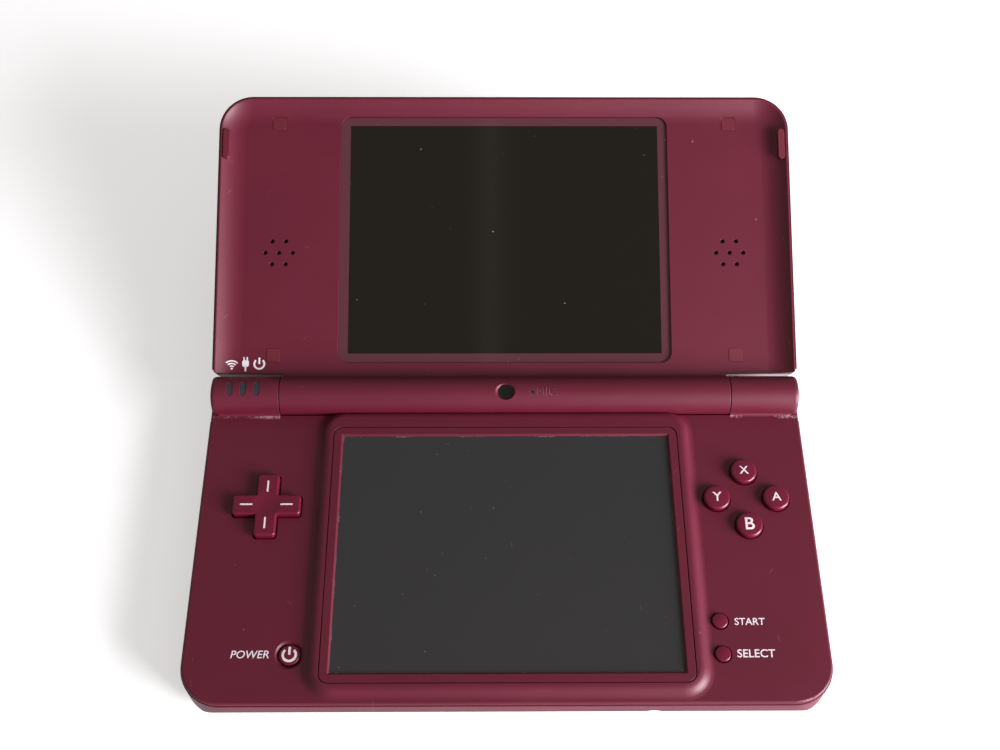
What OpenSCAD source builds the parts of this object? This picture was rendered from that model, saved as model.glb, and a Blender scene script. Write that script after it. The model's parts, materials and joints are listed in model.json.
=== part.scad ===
// Clamshell handheld game console: two screens, a hinge along the long side, lid drawn open.
// The base lies on its feet. X runs to the right, Y to the back, Z up. Lengths in millimetres.
// The base is drawn from the hinge axis (y = 0 there), the lid in its own axes: x to the right,
// y away from the hinge along the lid, z square to the lid on the side of its screen.

/* [Body] */
// Overall width of the housing
body_w = 161; // [158:0.5:166]
// Hinge axis to the front edge
front_reach = 86.1; // [85:0.05:88]
// Thickness of the closed console, feet included
closed_h = 21.2; // [20.8:0.1:22.4]
// Height of the deck above the table
deck_z = 12; // [11.8:0.1:12.2]
// How far the lower screen's plateau stands above the deck
plateau_h = 1.6; // [1.2:0.1:1.8]
// Width of the plateau's sloping flank
plateau_flank = 3.9; // [3.3:0.1:4.1]
// Corner radius of the base at the front
base_corner_r = 10.5; // [9:0.25:11]
// Corner radius of the base at the back
rear_corner_r = 4.5; // [4:0.25:5]
// Rounding under the base
base_edge_r = 3.2; // [2.6:0.1:3.6]
// Rounding under the front edge
prow_r = 7.4; // [6:0.1:7.6]
// Wall of the housings
wall = 1.3; // [1.2:0.05:1.4]
// Thickness of the deck
deck_t = 1.2; // [1.1:0.05:1.3]
// Height of a rubber foot below the housing
foot_h = 0.4; // [0.3:0.05:0.6]

/* [Hinge] */
// Radius of the hinge barrel and its knuckles
hinge_r = 5.3; // [5.2:0.05:5.6]
// Height of the hinge axis above the table
hinge_z = 13.2; // [13.1:0.05:13.4]
// Length of the barrel between the knuckles
barrel_len = 122.4; // [121:0.1:123]
// Gap at each end of the barrel
barrel_gap = 0.25; // [0.2:0.05:0.5]
// Gap round the barrel in its trough
trough_gap = 0.35; // [0.3:0.05:0.5]
// Angle between the deck and the lid when open
open_angle = 157.5; // [150:0.5:160]
// Radius of the trunnion in the left knuckle
trunnion_r = 2.6; // [2.5:0.05:2.7]
// Radius of the hinge cartridge in the right knuckle
cartridge_r = 3.1; // [3:0.05:3.2]
// Radius of the cam shaft between the cartridge and the barrel
cam_shaft_r = 1.75; // [1.6:0.05:1.9]
// Running clearance of the hinge's shafts, on the radius
running_gap = 0.05; // [0.03:0.01:0.08]

/* [Lid] */
// How far the lid ends behind the base's front edge
lid_short = 0.45; // [0:0.05:0.6]
// Corner radius of the lid at its far edge
lid_corner_r = 9.5; // [9:0.25:10]
// Rounding round the lid's back
lid_edge_r = 4; // [3.6:0.1:4.4]
// Lid face below the hinge axis, measured square to the lid
lid_face_drop = 1.5; // [1.4:0.05:1.6]
// Rim above the hinge axis, measured square to the lid
rim_rise = 0.9; // [0.8:0.05:1]
// Width of the hollow between the face and the rim
dish_w = 6.5; // [6:0.1:7]
// Radius of that hollow
dish_r = 10; // [9.6:0.1:10.6]
// Depth of the recess round the upper screen
bezel_depth = 0.5; // [0.4:0.05:0.55]
// Thickness of the upper screen's window
window_t = 0.5; // [0.4:0.05:0.55]

/* [Screens] */
// Width of both screen openings
screen_w = 87.2; // [85:0.1:88]
// Height of both screen openings
screen_d = 65.8; // [64:0.1:66]
// Hinge axis to the lower screen's opening
screen_y = 12.65; // [12.4:0.05:13]
// Hinge axis to the upper screen's window
window_y = 12.1; // [12:0.05:12.6]
// Width of the frame's band round the lower screen
frame_band = 2.6; // [2.4:0.05:2.8]
// Seam round the frame
seam = 0.12; // [0.1:0.01:0.16]
// Depth of the touch panel below the frame's face
panel_sink = 0.6; // [0.5:0.05:0.7]
// Chamfer round the lower screen's opening
frame_chamfer = 0.45; // [0.3:0.05:0.45]
// Thickness of each screen module
lcd_t = 3; // [2.6:0.1:3]

/* [Controls] */
// Centre of the D-pad, left of the middle
dpad_x = 62.6; // [62:0.1:63]
// Centre of the D-pad, forward of the hinge axis
dpad_y = 33.1; // [32.5:0.1:34]
// Width across the D-pad
dpad_w = 17.7; // [17:0.1:18.5]
// Width of one D-pad arm
dpad_arm = 5.6; // [5.2:0.1:6]
// Height of the D-pad above the deck
dpad_rise = 1.8; // [1.6:0.1:2]
// Centre of the face buttons, right of the middle
pad_x = 63.3; // [63:0.1:64]
// Centre of the face buttons, forward of the hinge axis
pad_y = 31; // [30:0.1:32]
// Centre of the group to the centre of a face button
pad_step = 7.8; // [7.4:0.1:8]
// Radius of a face button
face_r = 3.5; // [3.3:0.05:3.6]
// Height of a face button above the deck
face_rise = 1.7; // [1.5:0.1:2]
// Travel of a face button
face_travel = 0.8; // [0.6:0.05:0.8]
// START and SELECT, right of the middle
menu_x = 53.3; // [53:0.1:54]
// START, forward of the hinge axis
start_y = 64.9; // [64:0.1:66]
// SELECT, forward of the hinge axis
select_y = 73.5; // [73:0.1:74]
// Radius of START and SELECT
menu_r = 2; // [1.9:0.05:2.1]
// Travel of START, SELECT and power
menu_travel = 0.6; // [0.4:0.05:0.6]
// Power button, left of the middle
power_x = 53.8; // [53.6:0.1:54.4]
// Power button, forward of the hinge axis
power_y = 73.3; // [73:0.1:74]
// Radius of the power button
power_r = 2.65; // [2.5:0.05:2.8]
// Depth of the dish round the power button
power_dish = 0.6; // [0.5:0.05:0.7]
// Gap round every button
button_gap = 0.3; // [0.28:0.01:0.34]
// Length of the volume rocker
rocker_len = 14.4; // [13:0.1:15]

/* [Sockets] */
// Width of the game card slot
card_w = 33.6; // [33:0.1:34]
// Height of the game card slot
card_h = 4.15; // [4.12:0.01:4.2]
// Depth of the game card slot
card_d = 33; // [32:0.1:34]
// Middle of the game card slot, left of the middle
card_x = 34; // [33.8:0.1:34.4]
// Radius of the headphone socket
jack_r = 1.8; // [1.75:0.01:1.85]
// Headphone socket behind the wall's inner face
jack_set = 2.8; // [2.8:0.1:3.2]
// Length of the headphone socket
jack_len = 12; // [11:0.1:13]
// Headphone socket, right of the middle
jack_x = 36; // [35:0.1:37]
// Radius of the stylus
stylus_r = 2.2; // [2:0.05:2.3]
// Length of the stylus
stylus_len = 95.6; // [90:0.1:95.8]
// Stylus, forward of the hinge axis
stylus_y = 11; // [10.8:0.05:11.2]

/* [Power] */
// Width of the battery pack
battery_w = 52; // [48:0.5:53]
// Depth of the battery pack
battery_d = 36; // [32:0.5:37]
// Thickness of the battery pack
battery_t = 6; // [5:0.1:6.1]

/* [Hidden] */
$fn = 64;
eps = 0.01;
half_w = body_w / 2;
lean = 180 - open_angle;
lid_back = closed_h - hinge_z;
lid_len = front_reach - lid_short;
lid_extent = (lid_len - lid_edge_r) * cos(lean) + (lid_back - lid_edge_r) * sin(lean) + lid_edge_r;
hinge_y = (front_reach - lid_extent) / 2;

// Base, heights
floor_z = foot_h + wall;
seam_z = deck_z - 1.2;
under_deck = deck_z - deck_t;
plateau_z = deck_z + plateau_h;
knuckle_seam = 9.6;
trough_r = hinge_r + trough_gap;
trough_wall = 0.8;
rear_seam = hinge_z - trough_r - trough_wall;
board_z = 5.2;
board_t = 0.8;
board_top = board_z + board_t;
board_x = half_w - 4.5;
board_front = front_reach - 5.1;
board_back = 30;
deck_inset = 0.25;
deck_edge = 0.6;
knuckle_x = barrel_len / 2 + barrel_gap;
knuckle_front = hinge_r + 1.55;
knuckle_side = half_w - deck_inset;

// Screens
panel_z = plateau_z - panel_sink;
panel_t = 0.8;
lcd_top = panel_z - panel_t;
lcd_border = 1.2;
frame_w = screen_w + 2 * frame_band + 2 * seam;
frame_d = screen_d + 2 * frame_band + 2 * seam;
frame_mid = -(screen_y + screen_d / 2);
frame_corner = 2.4;
tray_t = 0.5;
window_mid = window_y + screen_d / 2;

// Lid, heights in the lid's axes
face_n = -lid_face_drop;
plate_under = face_n - 1.4;
lid_wall = 1.2;
lid_inset = 0.55;
lip_n = -0.55;
outer_rim = rim_rise - 0.5;
notch_s = hinge_r + 1.1;
slope_s = 9;

// Controls
button_foot = under_deck - 0.85;
flange_t = 0.8;
bay_lo = 3.2;
trough_end = 1.2;
bay_in = knuckle_x + trough_end + 0.05;
bay_front = 6.7;
pin_x = bay_in + 2.3;
pin_y = hinge_r - 3.1;
pin_r = 0.8;
rocker_y = 31;
rocker_z = 7.6;

// Sockets
card_z = floor_z + 0.2;
sd_mid = 46;
sd_w = 25.4;
sd_z = 2.2;
flap_axis_x = half_w - 0.7;
flap_axis_z = 2.65;
flap_pin_r = 0.4;
stylus_z = 5;
silo_r = stylus_r + 0.3;
stylus_head_r = stylus_r + 0.25;
jack_z = 5.3;
port_x = 24;

// Battery bay
bay_wall = 0.9;
battery_x = -2;
battery_y = 52;
battery_z = foot_h + 1.1;
cover_w = battery_w + 15;
cover_d = battery_d + 8;
cover_t = 1;
cover_screw_x = cover_w / 2 - 3.4;

screw_xy = [for (side = [-1, 1]) [side * (half_w - 10.5), 10.6 - front_reach], [-56, -13], [50, -20]];
lid_screw_xy = [[-63.8, 78.4], [63.8, 78.4], [-64.1, 11.6], [64.1, 11.6]];
board_post_xy = [[-46, 8.1 - front_reach], [24, 7.6 - front_reach], [-44, -36.5], [board_x - 4, -66]];
speaker_s = 40.7;
speaker_x = 63.2;
camera_x = 70;
camera_s = 70;
mic_x = 7.2;
led_x = [-74.7, -71.1, -67.4];

wine = "#5e2033";
wine_gloss = "#4a1426";
black = "#161514";
steel = "#a9abb0";
board_green = "#2c5a3c";
rubber_dark = "#3a1720";

// ---------- helpers ----------

// The base's axes: y = 0 on the hinge
module in_base() translate([0, hinge_y, 0]) children();

// The lid's own axes, on the hinge at its open angle
module in_lid() translate([0, hinge_y, hinge_z]) rotate([lean, 0, 0]) children();

module both_sides() for (side = [0, 1]) mirror([side, 0, 0]) children();

module box(lo, hi) translate(lo) cube(hi - lo);

module rect(lo, hi) translate(lo) square(hi - lo);

// Upright post or hole from z0 to z1
module post(x, y, z0, z1, r) translate([x, y, z0]) cylinder(r = r, h = z1 - z0);

// Cylinder along X from x0 to x1, on the axis at (y, z)
module rod_x(x0, x1, r, y = 0, z = 0) translate([x0, y, z]) rotate([0, 90, 0]) cylinder(r = r, h = x1 - x0);

// Cylinder along Y from y0 to y1, on the axis at (x, z)
module rod_y(y0, y1, r, x, z) translate([x, y1, z]) rotate([90, 0, 0]) cylinder(r = r, h = y1 - y0);

// Profile in Y and Z drawn along X from x0 to x1
module along_x(x0, x1) translate([x0, 0, 0]) rotate([90, 0, 90]) linear_extrude(x1 - x0) children();

// Plate with round upright corners, from corner lo to corner hi
module plate(lo, hi, r) {
    box([lo[0] + r, lo[1], lo[2]], [hi[0] - r, hi[1], hi[2]]);
    box([lo[0], lo[1] + r, lo[2]], [hi[0], hi[1] - r, hi[2]]);
    for (x = [lo[0] + r, hi[0] - r]) for (y = [lo[1] + r, hi[1] - r]) post(x, y, lo[2], hi[2], r);
}

// Plate centred on (x, y)
module centred_plate(x, y, w, d, z0, z1, r) plate([x - w / 2, y - d / 2, z0], [x + w / 2, y + d / 2, z1], r);

// Sweeps a profile round one end of a rounded slab: corners at y = 0, open at y = d.
// The profile's x runs outward from the corner's centre, from 0 to r.
module end_sweep(w, d, r, z0, z1) {
    for (side = [0, 1]) mirror([side, 0, 0]) {
        translate([w / 2 - r, r, 0]) rotate([0, 0, -90]) rotate_extrude(angle = 90) children();
        translate([w / 2 - r, d, 0]) rotate([90, 0, 0]) linear_extrude(d - r) children();
    }
    translate([w / 2 - r, r, 0]) rotate([0, 0, -90]) rotate([90, 0, 0]) linear_extrude(w - 2 * r) children();
    box([-(w / 2 - r), r, z0], [w / 2 - r, d, z1]);
}

// Profile of a wall with its lower outer edge rounded
module round_foot(r, z0, z1, e) {
    rect([0, z0], [r - e, z1]);
    rect([0, z0 + e], [r, z1]);
    intersection() {
        translate([r - e, z0 + e]) circle(r = e);
        rect([r - e - eps, z0], [r, z0 + e + eps]);
    }
}

// Profile of a slab with its upper outer edge rounded
module round_head(r, z0, z1, e) {
    rect([0, z0], [r - e, z1]);
    rect([0, z0], [r, z1 - e]);
    intersection() {
        translate([r - e, z1 - e]) circle(r = e);
        rect([r - e - eps, z1 - e - eps], [r, z1]);
    }
}

// Flank in an S: h high and w wide, starting at x = x0 above z = z0
module s_flank(x0, z0, w, h) {
    bend = (w * w + h * h) / (4 * h);
    rect([0, z0 - eps], [x0, z0 + h]);
    intersection() {
        rect([x0, z0 - eps], [x0 + w / 2, z0 + h]);
        translate([x0, z0 + h - bend]) circle(r = bend);
    }
    difference() {
        rect([x0 + w / 2, z0 - eps], [x0 + w, z0 + h / 2]);
        translate([x0 + w, z0 + bend]) circle(r = bend);
    }
}

// ---------- base housing ----------

// One end of the base, grown inward by inset, its lower edge rounded
module base_solid(inset, z0, z1, e) {
    split = 40;
    w = body_w - 2 * inset;
    translate([0, -front_reach + inset, 0]) end_sweep(w, split - inset, base_corner_r - inset, z0, z1)
        round_foot(base_corner_r - inset, z0, z1, e);
    d = front_reach + hinge_r - split - inset;
    translate([0, hinge_r - inset, 0]) mirror([0, 1, 0]) end_sweep(w, d, rear_corner_r - inset, z0, z1)
        round_foot(rear_corner_r - inset, z0, z1, e);
}

// Everything behind the rounding under the front edge, grown inward by inset
module prow(inset) along_x(-half_w - 1, half_w + 1) {
    y = -front_reach + prow_r - 2 * eps;
    z = foot_h + prow_r - 2 * eps;
    rect([y, 0], [hinge_r + 1, z + eps]);
    rect([-front_reach - 1, z], [hinge_r + 1, seam_z + 2]);
    translate([y, z]) circle(r = prow_r - inset);
}

// Space for a shoulder button at one back corner (right side)
module shoulder_bay(z1) box([bay_in, -bay_front, bay_lo], [half_w + 1, hinge_r + 1, z1]);

module base_bottom_shell() color(wine) in_base() {
    difference() {
        intersection() {
            base_solid(0, foot_h, seam_z, base_edge_r);
            prow(0);
        }
        intersection() {
            base_solid(wall, floor_z, seam_z + 1, base_edge_r - wall);
            prow(wall);
        }
        box([-bay_in, -knuckle_front, rear_seam], [bay_in, hinge_r + 1, seam_z + 1]);
        both_sides() box([bay_in - 1, -knuckle_front, knuckle_seam], [half_w + 1, hinge_r + 1, seam_z + 1]);
        both_sides() shoulder_bay(seam_z);
        // game card slot, charging port, headphone socket, stylus, memory card, volume rocker
        box([-card_x - card_w / 2, 0, card_z], [-card_x + card_w / 2, hinge_r + 1, rear_seam + 1]);
        box([port_x - 4, 0, floor_z + 0.6], [port_x + 4, hinge_r + 1, floor_z + 3.8]);
        rod_y(-front_reach - 1, jack_front(), jack_r + 0.25, jack_x, jack_z);
        rod_x(half_w - wall - 1, half_w + 1, silo_r + 0.25, -stylus_y, stylus_z);
        sd_recess();
        rod_y(-sd_mid - 14.3, -sd_mid + 14.3, flap_pin_r + running_gap, flap_axis_x, flap_axis_z);
        box([-half_w - 1, -rocker_y - rocker_len / 2 - 0.3, rocker_z - 1.7],
            [-half_w + wall + 1, -rocker_y + rocker_len / 2 + 0.3, rocker_z + 1.7]);
        // battery cover's recess and the way into the bay
        centred_plate(battery_x, -battery_y, cover_w, cover_d, foot_h - 1, foot_h + cover_t + 0.05, 2);
        centred_plate(battery_x, -battery_y, battery_w + 1, battery_d + 1, foot_h, floor_z + 1, 1);
        for (side = [-1, 1]) post(battery_x + side * cover_screw_x, -battery_y, foot_h, floor_z + 1, 0.8);
        for (p = screw_xy) post(p[0], p[1], foot_h - 1, floor_z + 1, 2.4);
        for (p = foot_xy()) centred_plate(p[0], p[1], 9.2, 4.2, foot_h - 1, foot_h + 0.5, 2.05);
        strap_slots();
        socket_seats();
    }
    flap_ears();
    battery_bay();
    for (p = screw_xy) screw_well(p[0], p[1]);
    for (side = [-1, 1]) cover_boss(battery_x + side * cover_screw_x);
    for (p = board_post_xy) post(p[0], p[1], floor_z - eps, board_z, 1.5);
    // blocks that carry the shoulder buttons' pins
    both_sides() post(pin_x, pin_y, floor_z - eps, bay_lo, 1.8);
}

function foot_xy() = [for (x = [-1, 1]) for (y = [prow_r + 2.7 - front_reach, hinge_r - base_edge_r - 2.3])
    [x * (half_w - 20), y]];

// Recess for the memory card's cover, with the slot behind it
module sd_recess() {
    box([half_w - wall - 0.05, -sd_mid - 13.3, flap_axis_z - 0.8], [half_w + 1, -sd_mid + 13.3, flap_axis_z + 3.05]);
    box([half_w - wall - 2, -sd_mid - sd_w / 2 - 0.05, sd_z - 0.05],
        [half_w - wall, -sd_mid + sd_w / 2 + 0.05, board_z - 0.2]);
}

// Ears inside the wall in which the memory card's cover turns
module flap_ears() difference() {
    for (side = [-1, 1]) box([half_w - wall - 1, -sd_mid + side * 14.4 - 1.1, floor_z - eps],
        [flap_axis_x + 0.55, -sd_mid + side * 14.4 + 1.1, flap_axis_z + 1.2]);
    rod_y(-sd_mid - 14.3, -sd_mid + 14.3, flap_pin_r + running_gap, flap_axis_x, flap_axis_z);
}

// Two slots behind which a wrist strap's loop passes
module strap_slots() {
    for (x = [36, 41]) box([x, hinge_r - wall - 1, floor_z + 0.9], [x + 2.4, hinge_r + 1, floor_z + 3.5]);
}

// Squares off the rounding inside the walls where sockets and the stylus holder stand
module socket_seats() {
    behind = hinge_r - wall;
    box([-card_x - card_w / 2 - 0.45, behind - 2, floor_z], [-card_x + card_w / 2 + 0.45, behind, rear_seam]);
    box([port_x - 5.05, behind - 2, floor_z], [port_x + 5.05, behind, floor_z + 4.25]);
    rod_x(half_w - wall - 2, half_w - wall, silo_r + 0.65, -stylus_y, stylus_z);
}

module battery_bay() {
    top = battery_z + battery_t + 0.2;
    difference() {
        centred_plate(battery_x, -battery_y, battery_w + 1 + 2 * bay_wall, battery_d + 1 + 2 * bay_wall,
            floor_z - eps, top + bay_wall, 1.5);
        centred_plate(battery_x, -battery_y, battery_w + 1, battery_d + 1, floor_z - 1, top, 1);
        // window for the contacts
        box([battery_x - 8, -battery_y + battery_d / 2 - 1, floor_z + 1.3],
            [battery_x + 8, -battery_y + battery_d / 2 + 3, top - 1.4]);
    }
}

module screw_well(x, y) difference() {
    post(x, y, foot_h + 0.3, 3.2, 2.6);
    post(x, y, foot_h, 3.3, 0.95);
    post(x, y, foot_h, 2.1, 1.7);
}

module cover_boss(x) difference() {
    post(x, -battery_y, foot_h + cover_t + 0.05, 4.6, 2.2);
    post(x, -battery_y, foot_h, 4.2, 0.72);
}

// ---------- deck ----------

module deck_slab() {
    split = 40;
    w = body_w - 2 * deck_inset;
    r = base_corner_r - deck_inset;
    translate([0, -front_reach + deck_inset, 0]) end_sweep(w, split, r, seam_z, deck_z)
        round_head(r, seam_z, deck_z, deck_edge);
    side = w / 2 - 10;
    both_sides() translate([side, -2, 0]) rotate([90, 0, 0])
        linear_extrude(front_reach - deck_inset - split - 2) round_head(10, seam_z, deck_z, deck_edge);
    box([-side, -front_reach + deck_inset + split, seam_z], [side, -hinge_r + 1, deck_z]);
}

module plateau() {
    top_r = 4;
    w = frame_w + 1.5 + 2 * plateau_flank;
    r = top_r + plateau_flank;
    front = front_reach - deck_inset - 0.5;
    back = screen_y - frame_band - 3.2 - plateau_flank;
    d = front - back;
    intersection() {
        union() {
            translate([0, -front, 0]) end_sweep(w, d / 2, r, deck_z - eps, plateau_z)
                s_flank(top_r, deck_z, plateau_flank, plateau_h);
            translate([0, -back, 0]) mirror([0, 1, 0]) end_sweep(w, d / 2, r, deck_z - eps, plateau_z)
                s_flank(top_r, deck_z, plateau_flank, plateau_h);
        }
        box([-half_w, -front_reach, deck_z - 1], [half_w, -hinge_r - 0.3, plateau_z + 1]);
    }
}

// Cross-section of the trough: a quarter ring in front of the axis and a shelf behind it
module trough_profile() {
    intersection() {
        difference() {
            translate([0, hinge_z]) circle(r = trough_r + trough_wall);
            translate([0, hinge_z]) circle(r = trough_r);
        }
        rect([-trough_r - 2, rear_seam - 1], [0.5, deck_z]);
    }
    rect([0, rear_seam], [hinge_r, rear_seam + trough_wall]);
}

// Knuckle drawn from its inner face outward (right side)
module knuckle() {
    cap = 1.8;
    dome = 16;
    len = half_w - knuckle_x;
    intersection() {
        translate([knuckle_x, 0, hinge_z]) rotate([0, 90, 0]) rotate_extrude() intersection() {
            union() {
                rect([0, 0], [hinge_r - cap, len]);
                rect([0, 0], [hinge_r, len - cap]);
                translate([hinge_r - cap, len - cap]) circle(r = cap);
            }
            union() {
                rect([0, 0], [hinge_r, len - 2 * cap]);
                translate([0, len - dome]) circle(r = dome);
            }
        }
        box([0, -hinge_r, knuckle_seam], [half_w, hinge_r, hinge_z + hinge_r]);
    }
    box([knuckle_x, 0, knuckle_seam], [knuckle_side - cap, hinge_r, hinge_z]);
    box([knuckle_x, -knuckle_front, knuckle_seam], [knuckle_side, 0, deck_z - deck_edge]);
    box([knuckle_x, -knuckle_front, rear_seam], [knuckle_x + trough_end, hinge_r, knuckle_seam + eps]);
    box([knuckle_side - cap - eps, 0, knuckle_seam], [knuckle_side, hinge_r - cap, deck_z - deck_edge]);
    post(knuckle_side - cap, hinge_r - cap, knuckle_seam, deck_z - deck_edge, cap);
    box([knuckle_x, -knuckle_front, deck_z - deck_edge - 0.1], [knuckle_side - 1, 0, deck_z]);
    knuckle_fillet();
}

// Small hollow fillet where the knuckle meets the deck
module knuckle_fillet() {
    f = 0.8;
    foot = sqrt(pow(hinge_r + f, 2) - pow(hinge_z - deck_z - f, 2));
    along_x(knuckle_x, knuckle_side - 2) difference() {
        rect([-foot, deck_z - 0.1], [-foot + 1.2, deck_z + f]);
        translate([-foot, deck_z + f]) circle(r = f);
    }
}

module deck_shell() color(wine) in_base() difference() {
    union() {
        difference() {
            union() {
                deck_slab();
                plateau();
            }
            // hollow under the slab's rim and under the plateau
            centred_plate(0, frame_mid, frame_w - 2 * 1.2, frame_d - 2 * 1.2, seam_z - 1, deck_z + 5, 1.5);
            centred_plate(0, frame_mid, frame_w, frame_d, deck_z, deck_z + 5, frame_corner + seam);
            translate([0, 0, hinge_z]) rod_x(-knuckle_x, knuckle_x, trough_r);
        }
        along_x(-knuckle_x - trough_end, knuckle_x + trough_end) trough_profile();
        both_sides() knuckle();
        lip();
        for (p = screw_xy) post(p[0], p[1], 3.3, seam_z + eps, 2);
    }
    for (p = screw_xy) post(p[0], p[1], 3.2, 9, 0.72);
    // D-pad, buttons, START, SELECT and power
    dpad_cross(button_gap, seam_z - 1, deck_z + 1);
    for (c = face_centres()) post(c[0], c[1], seam_z - 1, deck_z + 1, face_r + button_gap);
    for (y = [start_y, select_y]) post(menu_x, -y, seam_z - 1, deck_z + 1, menu_r + button_gap);
    post(-power_x, -power_y, seam_z - 1, deck_z + 1, power_r + button_gap);
    translate([-power_x, -power_y, deck_z - power_dish])
        cylinder(r1 = power_r + button_gap + 0.05, r2 = power_r + button_gap + 0.7, h = power_dish + eps);
    // bores of the hinge and slots of the light pipes
    translate([0, 0, hinge_z]) {
        rod_x(-knuckle_x - 6.8, -knuckle_x + 1, trunnion_r + running_gap);
        rod_x(-knuckle_x - 15, -knuckle_x - 6.7, trunnion_r - 0.2);
        rod_x(knuckle_x - 1, knuckle_x + 14.5, cartridge_r + 0.02);
    }
    for (x = led_x) light_slot(x, 0.03, hinge_z + 2, hinge_z + hinge_r + 1);
    both_sides() post(pin_x, pin_y, knuckle_seam - 1, knuckle_seam + 0.7, pin_r + 0.02);
}

// Long rounded slot of an indicator light, grown by gap
module light_slot(x, gap, z0, z1) centred_plate(x, -0.6, 1.5 + 2 * gap, 3.9 + 2 * gap, z0, z1, 0.73 + gap);

// Lip under the deck that sits inside the lower housing's wall, along the front and the sides
module lip() {
    lo = seam_z - 1.4;
    t = 0.8;
    in = wall + 0.1;
    difference() {
        translate([0, -front_reach + in, 0]) end_sweep(body_w - 2 * in, 50, base_corner_r - in, lo, seam_z + eps)
            rect([0, lo], [base_corner_r - in, seam_z + eps]);
        translate([0, -front_reach + in + t, 0]) end_sweep(body_w - 2 * (in + t), 60, base_corner_r - in - t,
            lo - 1, seam_z + 1) rect([0, lo - 1], [base_corner_r - in - t, seam_z + 1]);
        // room for the volume rocker's flange and the memory card's recess
        box([-half_w, -rocker_y - 12, 0], [-half_w + 6, -rocker_y + 12, seam_z + 1]);
    }
}

module touch_screen_frame() color(wine) in_base() {
    w = frame_w - 2 * seam;
    d = frame_d - 2 * seam;
    difference() {
        union() {
            centred_plate(0, frame_mid, w, d, deck_z, plateau_z - 0.25, frame_corner);
            centred_plate(0, frame_mid, w - 0.3, d - 0.3, plateau_z - 0.3, plateau_z, frame_corner - 0.15);
        }
        centred_plate(0, frame_mid, screen_w, screen_d, deck_z - 1, plateau_z + 1, 0.5);
        intersection() {
            along_x(-frame_w, frame_w) translate([frame_mid, 0]) opening_funnel(screen_d);
            rotate([90, 0, 0]) linear_extrude(2 * front_reach) opening_funnel(screen_w);
        }
        centred_plate(0, frame_mid, screen_w + 2 * lcd_border, screen_d + 2 * lcd_border, deck_z - 1, panel_z, 0.8);
    }
}

// Profile of the chamfered opening, w wide below
module opening_funnel(w) polygon([[-w / 2, plateau_z - frame_chamfer], [w / 2, plateau_z - frame_chamfer],
    [w / 2 + 2 * frame_chamfer, plateau_z + frame_chamfer], [-w / 2 - 2 * frame_chamfer, plateau_z + frame_chamfer]]);

module touch_panel() color("#3a3a3a") in_base()
    centred_plate(0, frame_mid, screen_w + 2 * lcd_border - 0.2, screen_d + 2 * lcd_border - 0.2,
        lcd_top, panel_z, 0.7);

module lower_lcd() color(black) in_base()
    centred_plate(0, frame_mid, screen_w + 2 * lcd_border - 0.4, screen_d + 2 * lcd_border - 0.4,
        lcd_top - lcd_t, lcd_top, 0.7);

// Folded sheet that holds the lower screen from below, with its tabs under the deck
module lcd_tray() color(steel) in_base() {
    w = screen_w + 2 * lcd_border;
    d = screen_d + 2 * lcd_border;
    z = lcd_top - lcd_t;
    difference() {
        centred_plate(0, frame_mid, w + 1, d + 0.6, z - tray_t, z, 1);
        for (x = [-24, 24]) centred_plate(x, frame_mid, 30, 44, z - 1, z + 1, 2);
    }
    both_sides() box([w / 2 + 0.05, frame_mid - 20, z - tray_t], [w / 2 + 0.5, frame_mid + 20, under_deck]);
}

// ---------- inside the base ----------

module mainboard() color(board_green) in_base() difference() {
    union() {
        box([-board_x, -board_front, board_z], [board_x, -board_back, board_top]);
        box([-board_x, -board_back - 0.1, board_z], [23 - board_x, -18, board_top]);
        box([board_x - 22, -board_back - 0.1, board_z], [board_x, -17, board_top]);
    }
    centred_plate(battery_x, -battery_y, battery_w + 3.4, battery_d + 3.4, board_z - 1, board_top + 1, 2);
    box([-card_x - card_w / 2 - 1, -card_d - 1, board_z - 1], [-card_x + card_w / 2 + 1, 0, board_top + 1]);
    box([jack_x - 4, -front_reach, board_z - 1], [jack_x + 4, jack_front() + jack_len + 2.5, board_top + 1]);
    for (p = screw_xy) post(p[0], p[1], board_z - 1, board_top + 1, 3);
    for (side = [-1, 1]) post(side * board_x, -board_front, board_z - 1, board_top + 1, 5);
    for (side = [-1, 1]) post(battery_x + side * cover_screw_x, -battery_y, board_z - 1, board_top + 1, 1.2);
}

module board_shield() color(steel) in_base() {
    // it covers the chips between the battery and the wireless module
    lo = [26 - board_x, -board_back - 37, board_top];
    hi = lo + [14, 27, 2];
    difference() {
        plate(lo, hi, 0.8);
        plate(lo + [0.3, 0.3, -1], hi - [0.3, 0.3, 0.3], 0.5);
    }
}

module wireless_module() color(steel) in_base() {
    lo = [-board_x, -board_back - 39, board_top];
    box(lo, lo + [17, 20, 0.8]);
    plate(lo + [1.5, 1.5, 0.8 - eps], lo + [14, 17, 2.3], 0.6);
}

module battery_pack() color("#2b2b2e") in_base() {
    z1 = battery_z + battery_t;
    centred_plate(battery_x, -battery_y, battery_w, battery_d, battery_z, z1, 1.2);
}

// Spring blades that reach through the bay's window
module battery_contacts() color("#b08d57") in_base() {
    back = -battery_y + battery_d / 2;
    box([battery_x - 7, back + 1.6, floor_z + 1.4], [battery_x + 7, back + 3, board_z]);
    for (i = [-1, 0, 1]) box([battery_x + i * 4 - 0.6, back + 0.02, floor_z + 2],
        [battery_x + i * 4 + 0.6, back + 1.7, floor_z + 3.2]);
}

module battery_cover() color(wine) in_base() difference() {
    centred_plate(battery_x, -battery_y, cover_w - 0.3, cover_d - 0.3, foot_h, foot_h + cover_t, 1.85);
    for (side = [-1, 1]) {
        post(battery_x + side * cover_screw_x, -battery_y, foot_h - 1, foot_h + 2, 0.85);
        post(battery_x + side * cover_screw_x, -battery_y, foot_h - 1, foot_h + 0.6, 1.6);
    }
    // finger grip
    for (i = [0 : 4]) translate([battery_x - 7, -battery_y - cover_d / 2 + 4 + i * 1.4, foot_h - 0.1]) cube([14, 0.6, 0.4]);
}

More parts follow.
